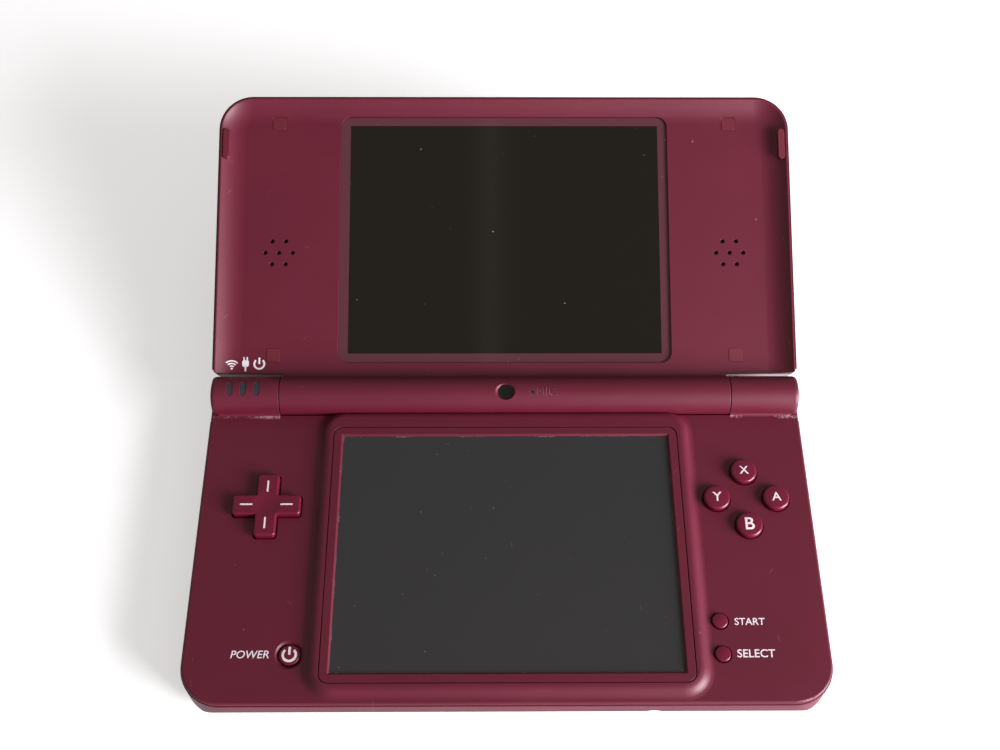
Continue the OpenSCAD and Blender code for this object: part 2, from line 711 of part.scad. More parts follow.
// Cross-recessed screw seen from below, head down
module screw(z_head, z_tip, head_r = 1.5, shank_r = 0.7) {
    difference() {
        post(0, 0, z_head, z_head + 0.55, head_r);
        for (turn = [0, 90]) rotate([0, 0, turn]) box([-0.8, -0.16, z_head - 1], [0.8, 0.16, z_head + 0.35]);
    }
    post(0, 0, z_head + 0.5, z_tip, shank_r);
}

module battery_cover_screws() color(steel) in_base() for (side = [-1, 1])
    translate([battery_x + side * cover_screw_x, -battery_y, 0]) screw(foot_h + 0.02, 4);

module base_screws() color(steel) in_base() for (p = screw_xy)
    translate([p[0], p[1], 0]) screw(1.5, 8.5);

module rubber_feet() color(rubber_dark) in_base() for (p = foot_xy())
    centred_plate(p[0], p[1], 9, 4, 0, foot_h + 0.5, 1.95);

// Rubber sheet on the board with a hollow dome under each contact
module contact_dome(x, y, r, top) difference() {
    post(x, y, board_top, top, r);
    post(x, y, board_top - 1, top - 0.5, r - 0.6);
}

module dpad_membrane() color("#77727a") in_base() {
    contact = dpad_w / 2 - 2.3;
    difference() {
        post(-dpad_x, -dpad_y, board_top, board_top + 0.6, dpad_w / 2 + 1.6);
        post(-dpad_x, -dpad_y, board_top - 1, board_top + 1, 2.2);
    }
    for (turn = [0 : 90 : 270])
        contact_dome(-dpad_x + contact * cos(turn), -dpad_y + contact * sin(turn), 2.1, board_top + 2);
}

module face_button_membrane() color("#77727a") in_base() {
    post(pad_x, -pad_y, board_top, board_top + 0.6, pad_step + face_r + 0.8);
    for (c = face_centres()) contact_dome(c[0], c[1], 3.2, button_foot - face_travel - 0.1);
}

module menu_button_membrane() color("#77727a") in_base() {
    plate([menu_x - 2.9, -select_y - 3.4, board_top], [menu_x + 2.9, -start_y + 3.4, board_top + 0.6], 2);
    for (y = [start_y, select_y]) contact_dome(menu_x, -y, 2, button_foot - menu_travel - 0.05);
}

// Small switches: power, two for the volume rocker, two behind the shoulder buttons
module tact_switches() color("#3c3c40") in_base() {
    plate([-power_x - 2.6, -power_y - 2.6, board_top], [-power_x + 2.6, -power_y + 2.6, board_top + 1.6], 0.4);
    post(-power_x, -power_y, board_top + 1.5, button_foot - menu_travel - 0.1, 1.4);
    for (side = [-1, 1]) {
        box([-half_w + 4.4, -rocker_y + side * 5 - 1.5, board_top], [-half_w + 6.6, -rocker_y + side * 5 + 1.5, rocker_z + 1]);
        box([-half_w + 3.3, -rocker_y + side * 5 - 0.6, rocker_z - 0.6], [-half_w + 4.5, -rocker_y + side * 5 + 0.6, rocker_z + 0.6]);
    }
    both_sides() {
        box([half_w - 8.5, -bay_front + 1.3, floor_z], [half_w - 3.5, -bay_front + 3.3, 8]);
        box([half_w - 7, -bay_front + 3.2, 5], [half_w - 5, -bay_front + 4.6, 7]);
    }
}

module game_card_slot() color(steel) in_base() {
    lo = [-card_x - card_w / 2 - 0.4, -card_d + hinge_r - 0.3, floor_z];
    hi = [-card_x + card_w / 2 + 0.4, hinge_r - wall - 0.05, rear_seam];
    difference() {
        box(lo, hi);
        box([lo[0] + 0.4, lo[1] + 1, card_z], [hi[0] - 0.4, hi[1] + 1, card_z + card_h]);
    }
}

// Sheet-metal memory card slot under the board
module sd_card_slot() color(steel) in_base() {
    lo = [half_w - 28, -sd_mid - sd_w / 2, sd_z];
    hi = [half_w - wall - 0.1, -sd_mid + sd_w / 2, board_z];
    difference() {
        box(lo, hi);
        box(lo + [0.6, 0.3, 0.3], hi + [1, -0.3, -0.3]);
    }
    for (y = [lo[1] + 3, hi[1] - 5]) box([lo[0] + 4, y, floor_z], [lo[0] + 8, y + 2, sd_z + eps]);
}

module charging_port() color("#2b2b2e") in_base() difference() {
    box([port_x - 5, hinge_r - wall - 9, floor_z], [port_x + 5, hinge_r - wall - 0.05, floor_z + 4.2]);
    box([port_x - 4, hinge_r - wall - 7, floor_z + 0.6], [port_x + 4, hinge_r, floor_z + 1.4]);
    box([port_x - 4, hinge_r - wall - 7, floor_z + 3], [port_x + 4, hinge_r, floor_z + 3.8]);
    box([port_x - 4, hinge_r - wall - 7, floor_z + 1.3], [port_x - 3.2, hinge_r, floor_z + 3.1]);
    box([port_x + 3.2, hinge_r - wall - 7, floor_z + 1.3], [port_x + 4, hinge_r, floor_z + 3.1]);
}

function jack_front() = -front_reach + wall + jack_set;

module headphone_jack() color(black) in_base() {
    front = jack_front();
    difference() {
        plate([jack_x - 3.4, front + 0.05, jack_z - 2.6], [jack_x + 3.4, front + jack_len + 1.5, jack_z + 2.6], 0.4);
        rod_y(front - 1, front + jack_len, jack_r, jack_x, jack_z);
    }
    box([jack_x - 2.4, front + 4, floor_z], [jack_x + 2.4, front + 10, jack_z - 2.6 + eps]);
}

module stylus_holder() color(black) in_base() translate([0, -stylus_y, stylus_z]) {
    tip = half_w - stylus_len - 0.7;
    difference() {
        union() {
            rod_x(tip - 0.6, half_w - wall - 0.05, silo_r + 0.6);
            for (x = [tip + 6, half_w - 30]) box([x, -1.5, floor_z - stylus_z], [x + 3, 1.5, -silo_r]);
        }
        rod_x(tip, half_w, silo_r);
        rod_x(half_w - 9, half_w, silo_r + 0.25);
    }
}

// Clear bars that carry the lamps' light to the left knuckle
module indicator_light_pipes() color("#241318") in_base() intersection() {
    for (x = led_x) light_slot(x, 0, hinge_z + 3.1, hinge_z + hinge_r);
    translate([0, 0, hinge_z]) rod_x(-half_w, -knuckle_x, hinge_r - 0.08);
}

module hinge_cartridge() color(steel) in_base() translate([0, 0, hinge_z]) difference() {
    rod_x(knuckle_x + 0.05, knuckle_x + 14.4, cartridge_r);
    rod_x(knuckle_x - 1, knuckle_x + 9, cam_shaft_r + running_gap);
}

module shoulder_pins() color(steel) in_base() both_sides()
    post(pin_x, pin_y, bay_lo, knuckle_seam + 0.6, pin_r);

// Torsion springs: closely wound turns on the pin and one leg to the button
module shoulder_springs() color(steel) in_base() both_sides() {
    wire = 0.25;
    coil_r = 1.12;
    for (i = [0 : 3]) translate([pin_x, pin_y, 7.5 + i * 0.46]) rotate_extrude() translate([coil_r, 0]) circle(r = wire, $fn = 24);
    rod_x(pin_x, pin_x + 5, wire - 0.05, pin_y - coil_r, 7.5);
}

// ---------- controls ----------

function face_centres() = [for (i = [0 : 3]) [pad_x + pad_step * cos(90 * i), -pad_y + pad_step * sin(90 * i)]];

// Cross of the D-pad, grown by gap all round
module dpad_cross(gap, z0, z1) {
    r = 0.9;
    long = dpad_w + 2 * gap;
    short = dpad_arm + 2 * gap;
    centred_plate(-dpad_x, -dpad_y, long, short, z0, z1, r);
    centred_plate(-dpad_x, -dpad_y, short, long, z0, z1, r);
}

// One bar of the cross with its top edge rounded
module dpad_bar(w, d, z0, z1, r, e) for (half = [0, 1]) mirror([0, half, 0])
    translate([0, -d / 2, 0]) end_sweep(w, d / 2, r, z0, z1) round_head(r, z0, z1, e);

module dpad() color(wine) in_base() {
    top = deck_z + dpad_rise;
    difference() {
        translate([-dpad_x, -dpad_y, 0]) for (turn = [0, 90]) rotate([0, 0, turn])
            dpad_bar(dpad_w, dpad_arm, button_foot, top, 0.9, 0.5);
        translate([-dpad_x, -dpad_y, top + 29.75]) sphere(r = 30);
    }
    difference() {
        post(-dpad_x, -dpad_y, 9, button_foot + eps, dpad_w / 2 + 0.9);
        post(-dpad_x, -dpad_y, 8, 9.2, 5);
    }
}

module dpad_pivot_pad() color("#77727a") in_base() {
    post(-dpad_x, -dpad_y, board_top + 0.35, 9, 1.6);
    post(-dpad_x, -dpad_y, 7.2, 7.9, 4);
}

// Round button: crowned top that runs into its rounded edge, and a flange under the deck
module round_button(x, y, r, top, crown, edge) translate([x, y, 0]) {
    bow = (r * r + crown * crown) / (2 * crown);
    edge_z = top - bow + sqrt(pow(bow - edge, 2) - pow(r - edge, 2));
    rotate_extrude() {
        intersection() {
            rect([0, button_foot], [(r - edge) * bow / (bow - edge), top + 1]);
            translate([0, top - bow]) circle(r = bow, $fn = 200);
        }
        rect([0, button_foot], [r, edge_z]);
        intersection() {
            translate([r - edge, edge_z]) circle(r = edge);
            rect([0, button_foot], [r + 1, top]);
        }
        rect([0, button_foot], [r + button_gap + 0.5, button_foot + flange_t]);
    }
}

module face_button(i) color(wine) in_base()
    round_button(face_centres()[i][0], face_centres()[i][1], face_r, deck_z + face_rise, 0.25, 0.7);

module button_a() face_button(0);

module button_x() face_button(1);

module button_y() face_button(2);

module button_b() face_button(3);

module start_button() color(wine) in_base() round_button(menu_x, -start_y, menu_r, deck_z + 0.7, 0.2, 0.4);

module select_button() color(wine) in_base() round_button(menu_x, -select_y, menu_r, deck_z + 0.7, 0.2, 0.4);

module power_button() color(wine) in_base() round_button(-power_x, -power_y, power_r, deck_z + 0.05, 0.15, 0.45);

// Shoulder button (right side): a wall round the back corner, a sleeve on the pin, a nub
module shoulder() {
    z0 = bay_lo + 0.3;
    z1 = knuckle_seam - 0.3;
    t = 1.5;
    difference() {
        union() {
            intersection() {
                difference() {
                    base_solid(0.1, z0 - 2, z1 + 2, 0.5);
                    plate([-half_w, -60, 0], [half_w - t, hinge_r - t, 12], rear_corner_r - t);
                }
                box([bay_in + 0.4, -bay_front + 1.2, z0], [half_w, hinge_r, z1]);
            }
            post(pin_x, pin_y, z0, 7, 1.9);
            box([pin_x - 1.2, pin_y, z0], [pin_x + 1.2, hinge_r - 1, 7]);
            box([half_w - 6.8, -bay_front + 5.5, 5.2], [half_w - 5.2, hinge_r - 1, 6.8]);
        }
        post(pin_x, pin_y, 0, 12, pin_r + running_gap);
    }
}

module shoulder_button_right() color(wine) in_base() shoulder();

module shoulder_button_left() color(wine) in_base() mirror([1, 0, 0]) shoulder();

module volume_rocker() color(wine) in_base() {
    x = -half_w;
    y0 = -rocker_y - rocker_len / 2;
    y1 = -rocker_y + rocker_len / 2;
    difference() {
        box([x - 0.3, y0, rocker_z - 1.4], [x + 2.6, y1, rocker_z + 1.4]);
        box([x - 1, -rocker_y - 0.5, rocker_z - 2], [x - 0.05, -rocker_y + 0.5, rocker_z + 2]);
    }
    box([x + wall + 0.5, y0 - 0.9, rocker_z - 2.1], [x + wall + 1.3, y1 + 0.9, rocker_z + 2.1]);
}

module sd_slot_cover() color(wine) in_base() {
    top = flap_axis_z + 2.9;
    difference() {
        union() {
            box([flap_axis_x - 0.45, -sd_mid - 13, flap_axis_z], [half_w - 0.05, -sd_mid + 13, top]);
            rod_y(-sd_mid - 13, -sd_mid + 13, 0.65, flap_axis_x, flap_axis_z);
        }
        // nail catch along the upper edge
        box([half_w - 0.5, -sd_mid - 4, top - 0.7], [half_w + 1, -sd_mid + 4, top + 1]);
    }
    rod_y(-sd_mid - 14, -sd_mid + 14, flap_pin_r, flap_axis_x, flap_axis_z);
}

module stylus() color(wine) in_base() translate([half_w - 0.1, -stylus_y, stylus_z]) rotate([0, -90, 0])
    rotate_extrude() {
        translate([0.5, 0]) square([stylus_head_r - 0.5, 1]);
        rect([0, 0], [stylus_head_r - 0.5, 0.6]);
        rect([0, 0.5], [stylus_head_r, 8]);
        rect([0, 7.9], [stylus_r, stylus_len - 14]);
        polygon([[0, stylus_len - 14.1], [stylus_r, stylus_len - 14.1], [1.1, stylus_len - 2], [0, stylus_len - 2]]);
        intersection() {
            rect([0, stylus_len - 3], [2, stylus_len]);
            translate([0, stylus_len - 1.2]) circle(r = 1.2);
        }
    }

// ---------- lid ----------

// The lid's slab with its back edge rounded, open towards the hinge
module lid_solid(inset, n0, n1, e) {
    r = lid_corner_r - inset;
    translate([0, lid_len - inset, 0]) mirror([0, 1, 0])
        end_sweep(body_w - 2 * inset, lid_len - inset - notch_s, r, n0, n1) round_foot(r, n0, n1, e);
}

// Everything behind the slope that runs from the lid's back down to the barrel
module behind_slope() along_x(-half_w - 1, half_w + 1)
    polygon([[-1, -hinge_r - 0.01], [slope_s, -lid_back], [slope_s, -lid_back - 3], [-1, -lid_back - 3]]);

module lid_outer_shell() color(wine_gloss) in_lid() {
    difference() {
        union() {
            lid_solid(0, -lid_back, outer_rim, lid_edge_r);
            box([-barrel_len / 2, 0, -lid_back], [barrel_len / 2, notch_s + eps, plate_under]);
            intersection() {
                rod_x(-barrel_len / 2, barrel_len / 2, hinge_r);
                box([-half_w, -hinge_r, -hinge_r], [half_w, 0.5, plate_under]);
            }
        }
        // cavity, the step that holds the inner shell, and the barrel's hollow
        intersection() {
            lid_solid(lid_wall, -lid_back + lid_wall, rim_rise + 1, lid_edge_r - lid_wall);
            box([-half_w, slope_s + 0.5, -lid_back], [half_w, lid_len, rim_rise + 1]);
        }
        intersection() {
            lid_solid(lid_inset, lip_n, rim_rise + 1, 0.02);
            box([-half_w, 0, lip_n], [half_w, lid_len, rim_rise + 1]);
        }
        box([-half_w + lid_wall, notch_s - 1, plate_under], [half_w - lid_wall, slope_s + 1, rim_rise + 1]);
        box([-half_w - 1, notch_s - 1, plate_under], [half_w + 1, notch_s + 0.9, rim_rise + 1]);
        rod_x(-barrel_len / 2 + 1.2, barrel_len / 2 - 10.2, hinge_r - 1.15);
        behind_slope();
        // outer camera and its indicator
        post(camera_x, camera_s, -lid_back - 1, -lid_back + 0.9, 4.3);
        post(camera_x, camera_s, -lid_back - 1, 0, 3);
        post(camera_x, camera_s - 8.5, -lid_back - 1, 0, 0.8);
        both_sides() rounded_notch_corner();
    }
    for (p = lid_screw_xy) difference() {
        post(p[0], p[1], -lid_back + lid_wall - 0.3, -4.3, 2.2);
        post(p[0], p[1], -6, 0, 0.72);
    }
}

// Rounds the lid's upright corner next to the knuckle
module rounded_notch_corner() {
    r = 1.2;
    difference() {
        box([half_w - r, notch_s - 1, -lid_back - 1], [half_w + 1, notch_s + r, rim_rise + 1]);
        post(half_w - r, notch_s + r, -lid_back - 1, rim_rise + 1, r);
    }
}

// The dish: a flat face with a hollow rise to the rim on three sides
module dish() {
    inset = lid_inset + 0.35;
    r = lid_corner_r - inset;
    flat_r = r - dish_w;
    translate([0, lid_len - inset, 0]) mirror([0, 1, 0])
        end_sweep(body_w - 2 * inset, lid_len - inset, r, face_n, rim_rise + 1) {
            rect([0, face_n], [flat_r, rim_rise + 1]);
            intersection() {
                translate([flat_r, face_n + dish_r]) circle(r = dish_r, $fn = 200);
                rect([flat_r - eps, face_n], [r, rim_rise + 1]);
            }
        }
}

module lid_inner_shell() color(wine) in_lid() {
    difference() {
        union() {
            intersection() {
                lid_solid(lid_inset, plate_under, rim_rise, 0.05);
                // below the lip it steps in behind the outer shell's wall
                union() {
                    box([-half_w, 0, lip_n + 0.02], [half_w, lid_len, rim_rise]);
                    lid_solid(lid_wall + 0.05, plate_under - 0.1, rim_rise, 0.05);
                }
            }
            box([-barrel_len / 2, 0, plate_under], [barrel_len / 2, notch_s + eps, face_n]);
            intersection() {
                rod_x(-barrel_len / 2, barrel_len / 2, hinge_r);
                box([-half_w, -hinge_r, plate_under], [half_w, hinge_r, hinge_r]);
            }
            rod_x(-barrel_len / 2 - 6.6, -barrel_len / 2 + 3, trunnion_r);
            for (p = lid_screw_xy) post(p[0], p[1], -4.25, plate_under + eps, 2.05);
        }
        dish_above_face();
        difference() {
            rod_x(-barrel_len / 2 + 1.2, barrel_len / 2 - 10.2, hinge_r - 1.15);
            box([-half_w, notch_s - 1.4, plate_under - 1], [half_w, 20, face_n]);
        }
        // recess and opening of the upper screen
        window_plate(0, face_n - bezel_depth - window_t, 5);
        centred_plate(0, window_mid, screen_w, screen_d, plate_under - 1, 5, 0.8);
        // screw covers, screws, speakers, bumpers
        for (p = lid_screw_xy) {
            centred_plate(p[0], p[1], 3.9, 3.9, face_n - 0.6, 5, 0.75);
            post(p[0], p[1], -3.1, 5, 1.6);
            post(p[0], p[1], -5, 5, 0.85);
        }
        both_sides() for (h = speaker_holes()) post(h[0], h[1], plate_under - 1, 5, 0.6);
        both_sides() bumper_pill(0.05, lip_n + 0.1, 5);
        // inner camera, microphone, hinge
        rotate([-5, 0, 0]) {
            post(0, 0, hinge_r - 2, 10, 2.05);
            translate([0, 0, hinge_r - 0.75]) cylinder(r1 = 2.05, r2 = 2.75, h = 0.8);
        }
        post(mic_x, 0, 3, 10, 0.6);
        rod_x(-barrel_len / 2 - 8, -barrel_len / 2 + 4, trunnion_r - 0.7);
        rod_x(barrel_len / 2 - 10.3, barrel_len / 2 + 1, cam_shaft_r);
        both_sides() rounded_notch_corner();
    }
}

// The dish stops at the barrel
module dish_above_face() difference() {
    intersection() {
        dish();
        box([-half_w, notch_s - 1, face_n - 1], [half_w, lid_len, rim_rise + 2]);
    }
    rod_x(-barrel_len / 2, barrel_len / 2, hinge_r);
}

// One hole in the middle and six round it
function speaker_holes() = [for (i = [0 : 6]) i == 6 ? [speaker_x, speaker_s]
    : [speaker_x + 3.8 * cos(60 * i), speaker_s + 3.8 * sin(60 * i)]];

// Long rounded seat of a rim bumper (right side)
module bumper_pill(gap, n0, n1) {
    r = 0.9 + gap;
    centred_plate(half_w - 2.15, 71.8, 2 * r, 8.7 + 2 * gap, n0, n1, r - eps);
}

// Window of the upper screen, shrunk by gap
module window_plate(gap, n0, n1)
    centred_plate(0, window_mid - 0.1, frame_w - 0.1 - 2 * gap, frame_d - 0.2 - 2 * gap, n0, n1, 3 - gap);

module upper_screen_window() color(black) in_lid()
    window_plate(0.06, face_n - bezel_depth - window_t, face_n - bezel_depth);

module upper_lcd() color("#3c3c40") in_lid()
    centred_plate(0, window_mid, screen_w + 6, screen_d + 4, plate_under - lcd_t, plate_under, 1);

module speaker() {
    centred_plate(speaker_x, speaker_s, 14, 20, plate_under - 2.6, plate_under, 3);
    post(speaker_x, speaker_s, plate_under - 3.4, plate_under - 2.5, 5);
}

module speaker_right() color("#2b2b2e") in_lid() speaker();

module speaker_left() color("#2b2b2e") in_lid() mirror([1, 0, 0]) speaker();

module lid_screws() color(steel) in_lid() for (p = lid_screw_xy) translate([p[0], p[1], -2.3]) rotate([180, 0, 0])
    screw(0.05, 3.4, 1.4, 0.7);

module lid_screw_covers() color(rubber_dark) in_lid() for (p = lid_screw_xy)
    centred_plate(p[0], p[1], 3.8, 3.8, face_n - 0.6, face_n + 0.08, 0.7);

module rim_bumpers() color(rubber_dark) in_lid() both_sides() bumper_pill(0, lip_n + 0.1, rim_rise + 0.15);

// Camera in the barrel, tipped five degrees towards the lid
module inner_camera() color(black) in_lid() rotate([-5, 0, 0]) {
    post(0, 0, 2.5, hinge_r - 0.75, 2);
    box([-2.5, -2.5, -0.8], [2.5, 2.5, 2.6]);
}

module microphone() color(steel) in_lid() post(mic_x, 0, 2.2, hinge_r - 1.75, 2);

module outer_camera() color(black) in_lid() {
    post(camera_x, camera_s, -lid_back + 0.35, -lid_back + 1.4, 2.95);
    box([camera_x - 3.4, camera_s - 3.4, -lid_back + 1.3], [camera_x + 3.4, camera_s + 3.4, -lid_back + 4.4]);
}

module outer_camera_ring() color(steel) in_lid() difference() {
    post(camera_x, camera_s, -lid_back - 0.1, -lid_back + 0.9, 4.25);
    post(camera_x, camera_s, -lid_back - 1, -lid_back + 2, 2.97);
}

module camera_indicator() color("#d9d2c4") in_lid() post(camera_x, camera_s - 8.5, -lid_back + 0.05, -lid_back + 2.4, 0.77);

module hinge_cam_shaft() color(steel) in_lid() rod_x(barrel_len / 2 - 10, barrel_len / 2 + 9, cam_shaft_r - 0.01);

// Flexible circuit rolled up where it runs through the left knuckle
module display_flex_cable() color("#b5722c") in_lid() difference() {
    rod_x(-barrel_len / 2 - 14, -barrel_len / 2 + 14, 1.7);
    rod_x(-barrel_len / 2 - 15, -barrel_len / 2 + 15, 1.25);
}

base_bottom_shell();
deck_shell();
touch_screen_frame();
touch_panel();
lower_lcd();
lcd_tray();
mainboard();
board_shield();
wireless_module();
battery_pack();
battery_contacts();
battery_cover();
battery_cover_screws();
base_screws();
rubber_feet();
dpad_membrane();
face_button_membrane();
menu_button_membrane();
tact_switches();
game_card_slot();
sd_card_slot();
charging_port();
headphone_jack();
stylus_holder();
indicator_light_pipes();
hinge_cartridge();
shoulder_pins();
shoulder_springs();
dpad_pivot_pad();
dpad();
button_a();
button_b();
button_x();
button_y();
start_button();
select_button();
power_button();
shoulder_button_left();
shoulder_button_right();
volume_rocker();
sd_slot_cover();
stylus();
lid_outer_shell();
lid_inner_shell();
upper_screen_window();
upper_lcd();
speaker_left();
speaker_right();
lid_screws();
lid_screw_covers();
rim_bumpers();
inner_camera();
outer_camera();
outer_camera_ring();
camera_indicator();
microphone();
hinge_cam_shaft();
display_flex_cable();
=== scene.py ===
"""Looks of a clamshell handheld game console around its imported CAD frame."""
import json
import logging
import math
from dataclasses import dataclass, field
from enum import Enum
from typing import Callable

import bmesh
import bpy
from mathutils import Matrix, Vector
from mathutils.bvhtree import BVHTree


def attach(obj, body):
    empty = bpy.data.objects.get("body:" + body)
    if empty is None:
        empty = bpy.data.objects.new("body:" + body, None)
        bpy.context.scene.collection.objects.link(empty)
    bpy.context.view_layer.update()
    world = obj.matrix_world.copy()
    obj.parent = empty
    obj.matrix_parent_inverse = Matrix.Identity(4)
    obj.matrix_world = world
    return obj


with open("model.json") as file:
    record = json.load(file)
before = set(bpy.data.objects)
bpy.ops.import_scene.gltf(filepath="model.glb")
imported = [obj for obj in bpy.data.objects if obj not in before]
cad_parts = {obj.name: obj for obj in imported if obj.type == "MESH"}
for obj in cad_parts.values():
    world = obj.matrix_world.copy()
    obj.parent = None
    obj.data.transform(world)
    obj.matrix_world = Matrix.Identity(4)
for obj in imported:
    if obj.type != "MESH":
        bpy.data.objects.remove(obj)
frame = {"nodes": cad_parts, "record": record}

LOG = logging.getLogger("console")
MM = 0.001

# The hinge axis in the frame, in millimetres, and how far the open lid leans back from level
HINGE_Y = 2.567
HINGE_Z = 13.2
LEAN = math.radians(22.5)

# Both screen openings: half their width and height, and their centres from the hinge axis
SCREEN_HALF = (43.6, 32.9)
UPPER_SCREEN = (0.0, 45.0)
LOWER_SCREEN = (0.0, -45.55)

# The corner between the deck and the hinge knuckles, where dust gathers
CORNER_X = (60.9, 61.6)
CORNER_Y = -6.1
CORNER_REACH = (1.1, 0.2)
CORNER_Z = 11.5

# Marks: half the thickness in which they are drawn, the grid that cuts them up, the height that they
# are laid down from, the depth that they sink in and the distance within which points are one
HALF_DRAWN = 0.5
MARK_GRID = 0.45
LAID_FROM = 40.0
MARK_SINK = 0.02
WELD = 0.0001
SMOOTH_BELOW = math.radians(40)


class Side(Enum):
    """The side of the screen of each housing: what is drawn lies on the base or on the lid."""

    BASE = "base"
    LID = "lid"


def base_axes() -> Matrix:
    """Millimetres from the hinge axis, in the base's axes, to the frame's metres."""
    return Matrix.Translation((0, HINGE_Y * MM, 0)) @ Matrix.Scale(MM, 4)


def lid_axes() -> Matrix:
    """Millimetres in the lid's own axes to the frame's metres."""
    hinge = Matrix.Translation((0, HINGE_Y * MM, HINGE_Z * MM))
    return hinge @ Matrix.Rotation(LEAN, 4, "X") @ Matrix.Scale(MM, 4)


def axes_of(side: Side) -> Matrix:
    """The axes of one housing, from millimetres to the frame."""
    return base_axes() if side is Side.BASE else lid_axes()


# ---------- node trees ----------


class Tree:
    """A node tree that is written line by line."""

    def __init__(self, tree: bpy.types.NodeTree) -> None:
        """Keeps the tree."""
        self.tree = tree

    def add(self, kind: str, **settings: object) -> bpy.types.Node:
        """Adds a node.

        Args:
            kind: The node's type name without its prefix, such as TexNoise.
            **settings: Its properties; a name of the form in_3 feeds that input.

        Returns:
            The new node.
        """
        node = self.tree.nodes.new("ShaderNode" + kind)
        for key, value in settings.items():
            if key.startswith("in_"):
                self.feed(node.inputs[int(key[3:])], value)
            else:
                setattr(node, key, value)
        return node

    def feed(self, socket: bpy.types.NodeSocket, value: object) -> None:
        """Links an output socket into an input, or sets the input's own value."""
        if isinstance(value, bpy.types.NodeSocket):
            self.tree.links.new(value, socket)
        else:
            socket.default_value = value

    def math(self, operation: str, a: object, b: object = 0.0) -> bpy.types.NodeSocket:
        """Adds a Math node and returns its output."""
        return self.add("Math", operation=operation, in_0=a, in_1=b).outputs[0]

    def fit(self, value: object, times: float, plus: float) -> bpy.types.NodeSocket:
        """Returns value times one number plus another."""
        return self.add("Math", operation="MULTIPLY_ADD", in_0=value, in_1=times, in_2=plus).outputs[0]

    def both(self, first: object, *others: object) -> bpy.types.NodeSocket:
        """Returns the product of masks."""
        for other in others:
            first = self.math("MULTIPLY", first, other)
        return first

    def ramp(self, value: object, low: float, high: float) -> bpy.types.NodeSocket:
        """Maps value smoothly from low..high to 0..1 and returns the output."""
        return self.add("MapRange", interpolation_type="SMOOTHSTEP", in_0=value, in_1=low, in_2=high).outputs[0]

    def mix(self, factor: object, a: object, b: object) -> bpy.types.NodeSocket:
        """Mixes two colours and returns the result."""
        node = self.add("Mix", data_type="RGBA")
        self.feed(node.inputs[0], factor)
        self.feed(node.inputs[6], a)
        self.feed(node.inputs[7], b)
        return node.outputs[2]

    def spot_on(self, side: Side) -> list[bpy.types.NodeSocket]:
        """The shaded point's x, y and z in one housing's axes, in millimetres."""
        spot, turn, size = axes_of(side).inverted().decompose()
        node = self.add("Mapping")
        self.feed(node.inputs["Vector"], self.add("TexCoord").outputs["Object"])
        for name, value in (("Location", spot), ("Rotation", turn.to_euler()), ("Scale", size)):
            node.inputs[name].default_value = value
        return list(self.add("SeparateXYZ", in_0=node.outputs[0]).outputs)

    def outside(self, spot: list[bpy.types.NodeSocket], centre: tuple[float, float],
                half: tuple[float, float]) -> bpy.types.NodeSocket:
        """How far a point lies outside a rectangle, in millimetres, and below nought inside it.

        Args:
            spot: The point's x, y and z.
            centre: The rectangle's centre.
            half: Half its width and half its height.

        Returns:
            The output socket.
        """
        apart = [self.math("ABSOLUTE", self.math("SUBTRACT", spot[i], centre[i])) for i in (0, 1)]
        return self.math("MAXIMUM", *(self.math("SUBTRACT", apart[i], half[i]) for i in (0, 1)))


def new_group(name: str, inputs: dict[str, float], outputs: dict[str, str]) -> tuple[Tree, dict, dict]:
    """Starts a shader node group.

    Args:
        name: The group's name.
        inputs: Each input's name and its default number.
        outputs: Each output's name and its socket type.

    Returns:
        The tree, the group's input sockets by name and its output sockets by name.
    """
    group = bpy.data.node_groups.new(name, "ShaderNodeTree")
    for key, value in inputs.items():
        socket = group.interface.new_socket(key, in_out="INPUT", socket_type="NodeSocketFloat")
        socket.default_value = value
    for key, kind in outputs.items():
        group.interface.new_socket(key, in_out="OUTPUT", socket_type=kind)
    entry = group.nodes.new("NodeGroupInput")
    leave = group.nodes.new("NodeGroupOutput")
    return Tree(group), {s.name: s for s in entry.outputs}, {s.name: s for s in leave.inputs}


def edge_group() -> bpy.types.NodeTree:
    """Edges that look slightly rounded and are worn brighter: outputs Normal and Wear."""
    tree, given, out = new_group(
        "soft_edges", {"Radius": 0.0003}, {"Normal": "NodeSocketVector", "Wear": "NodeSocketFloat"})
    bevel = tree.add("Bevel", samples=6, in_0=given["Radius"])
    flat = tree.add("NewGeometry").outputs["Normal"]
    facing = tree.add("VectorMath", operation="DOT_PRODUCT", in_0=bevel.outputs[0], in_1=flat)
    patch = tree.add("TexNoise", in_2=900.0, in_3=2.0)
    tree.feed(patch.inputs[0], tree.add("TexCoord").outputs["Object"])
    bent = tree.math("SUBTRACT", 1.0, facing.outputs["Value"])
    worn = tree.math("MULTIPLY", tree.ramp(bent, 0.02, 0.25), tree.ramp(patch.outputs[0], 0.35, 0.65))
    tree.feed(out["Normal"], bevel.outputs[0])
    tree.feed(out["Wear"], worn)
    return tree.tree


def grain_group() -> bpy.types.NodeTree:
    """Fine moulded grain under a soft coat: outputs Height and Cloud, the slow change of tone."""
    tree, given, out = new_group(
        "fine_grain", {"Scale": 3000.0}, {"Height": "NodeSocketFloat", "Cloud": "NodeSocketFloat"})
    place = tree.add("TexCoord").outputs["Object"]
    fine = tree.add("TexNoise", in_2=given["Scale"], in_3=2.0, in_4=0.6)
    tree.feed(fine.inputs[0], place)
    slow = tree.add("TexNoise", in_2=28.0, in_3=3.0, in_4=0.55)
    tree.feed(slow.inputs[0], place)
    tree.feed(out["Height"], fine.outputs[0])
    tree.feed(out["Cloud"], slow.outputs[0])
    return tree.tree


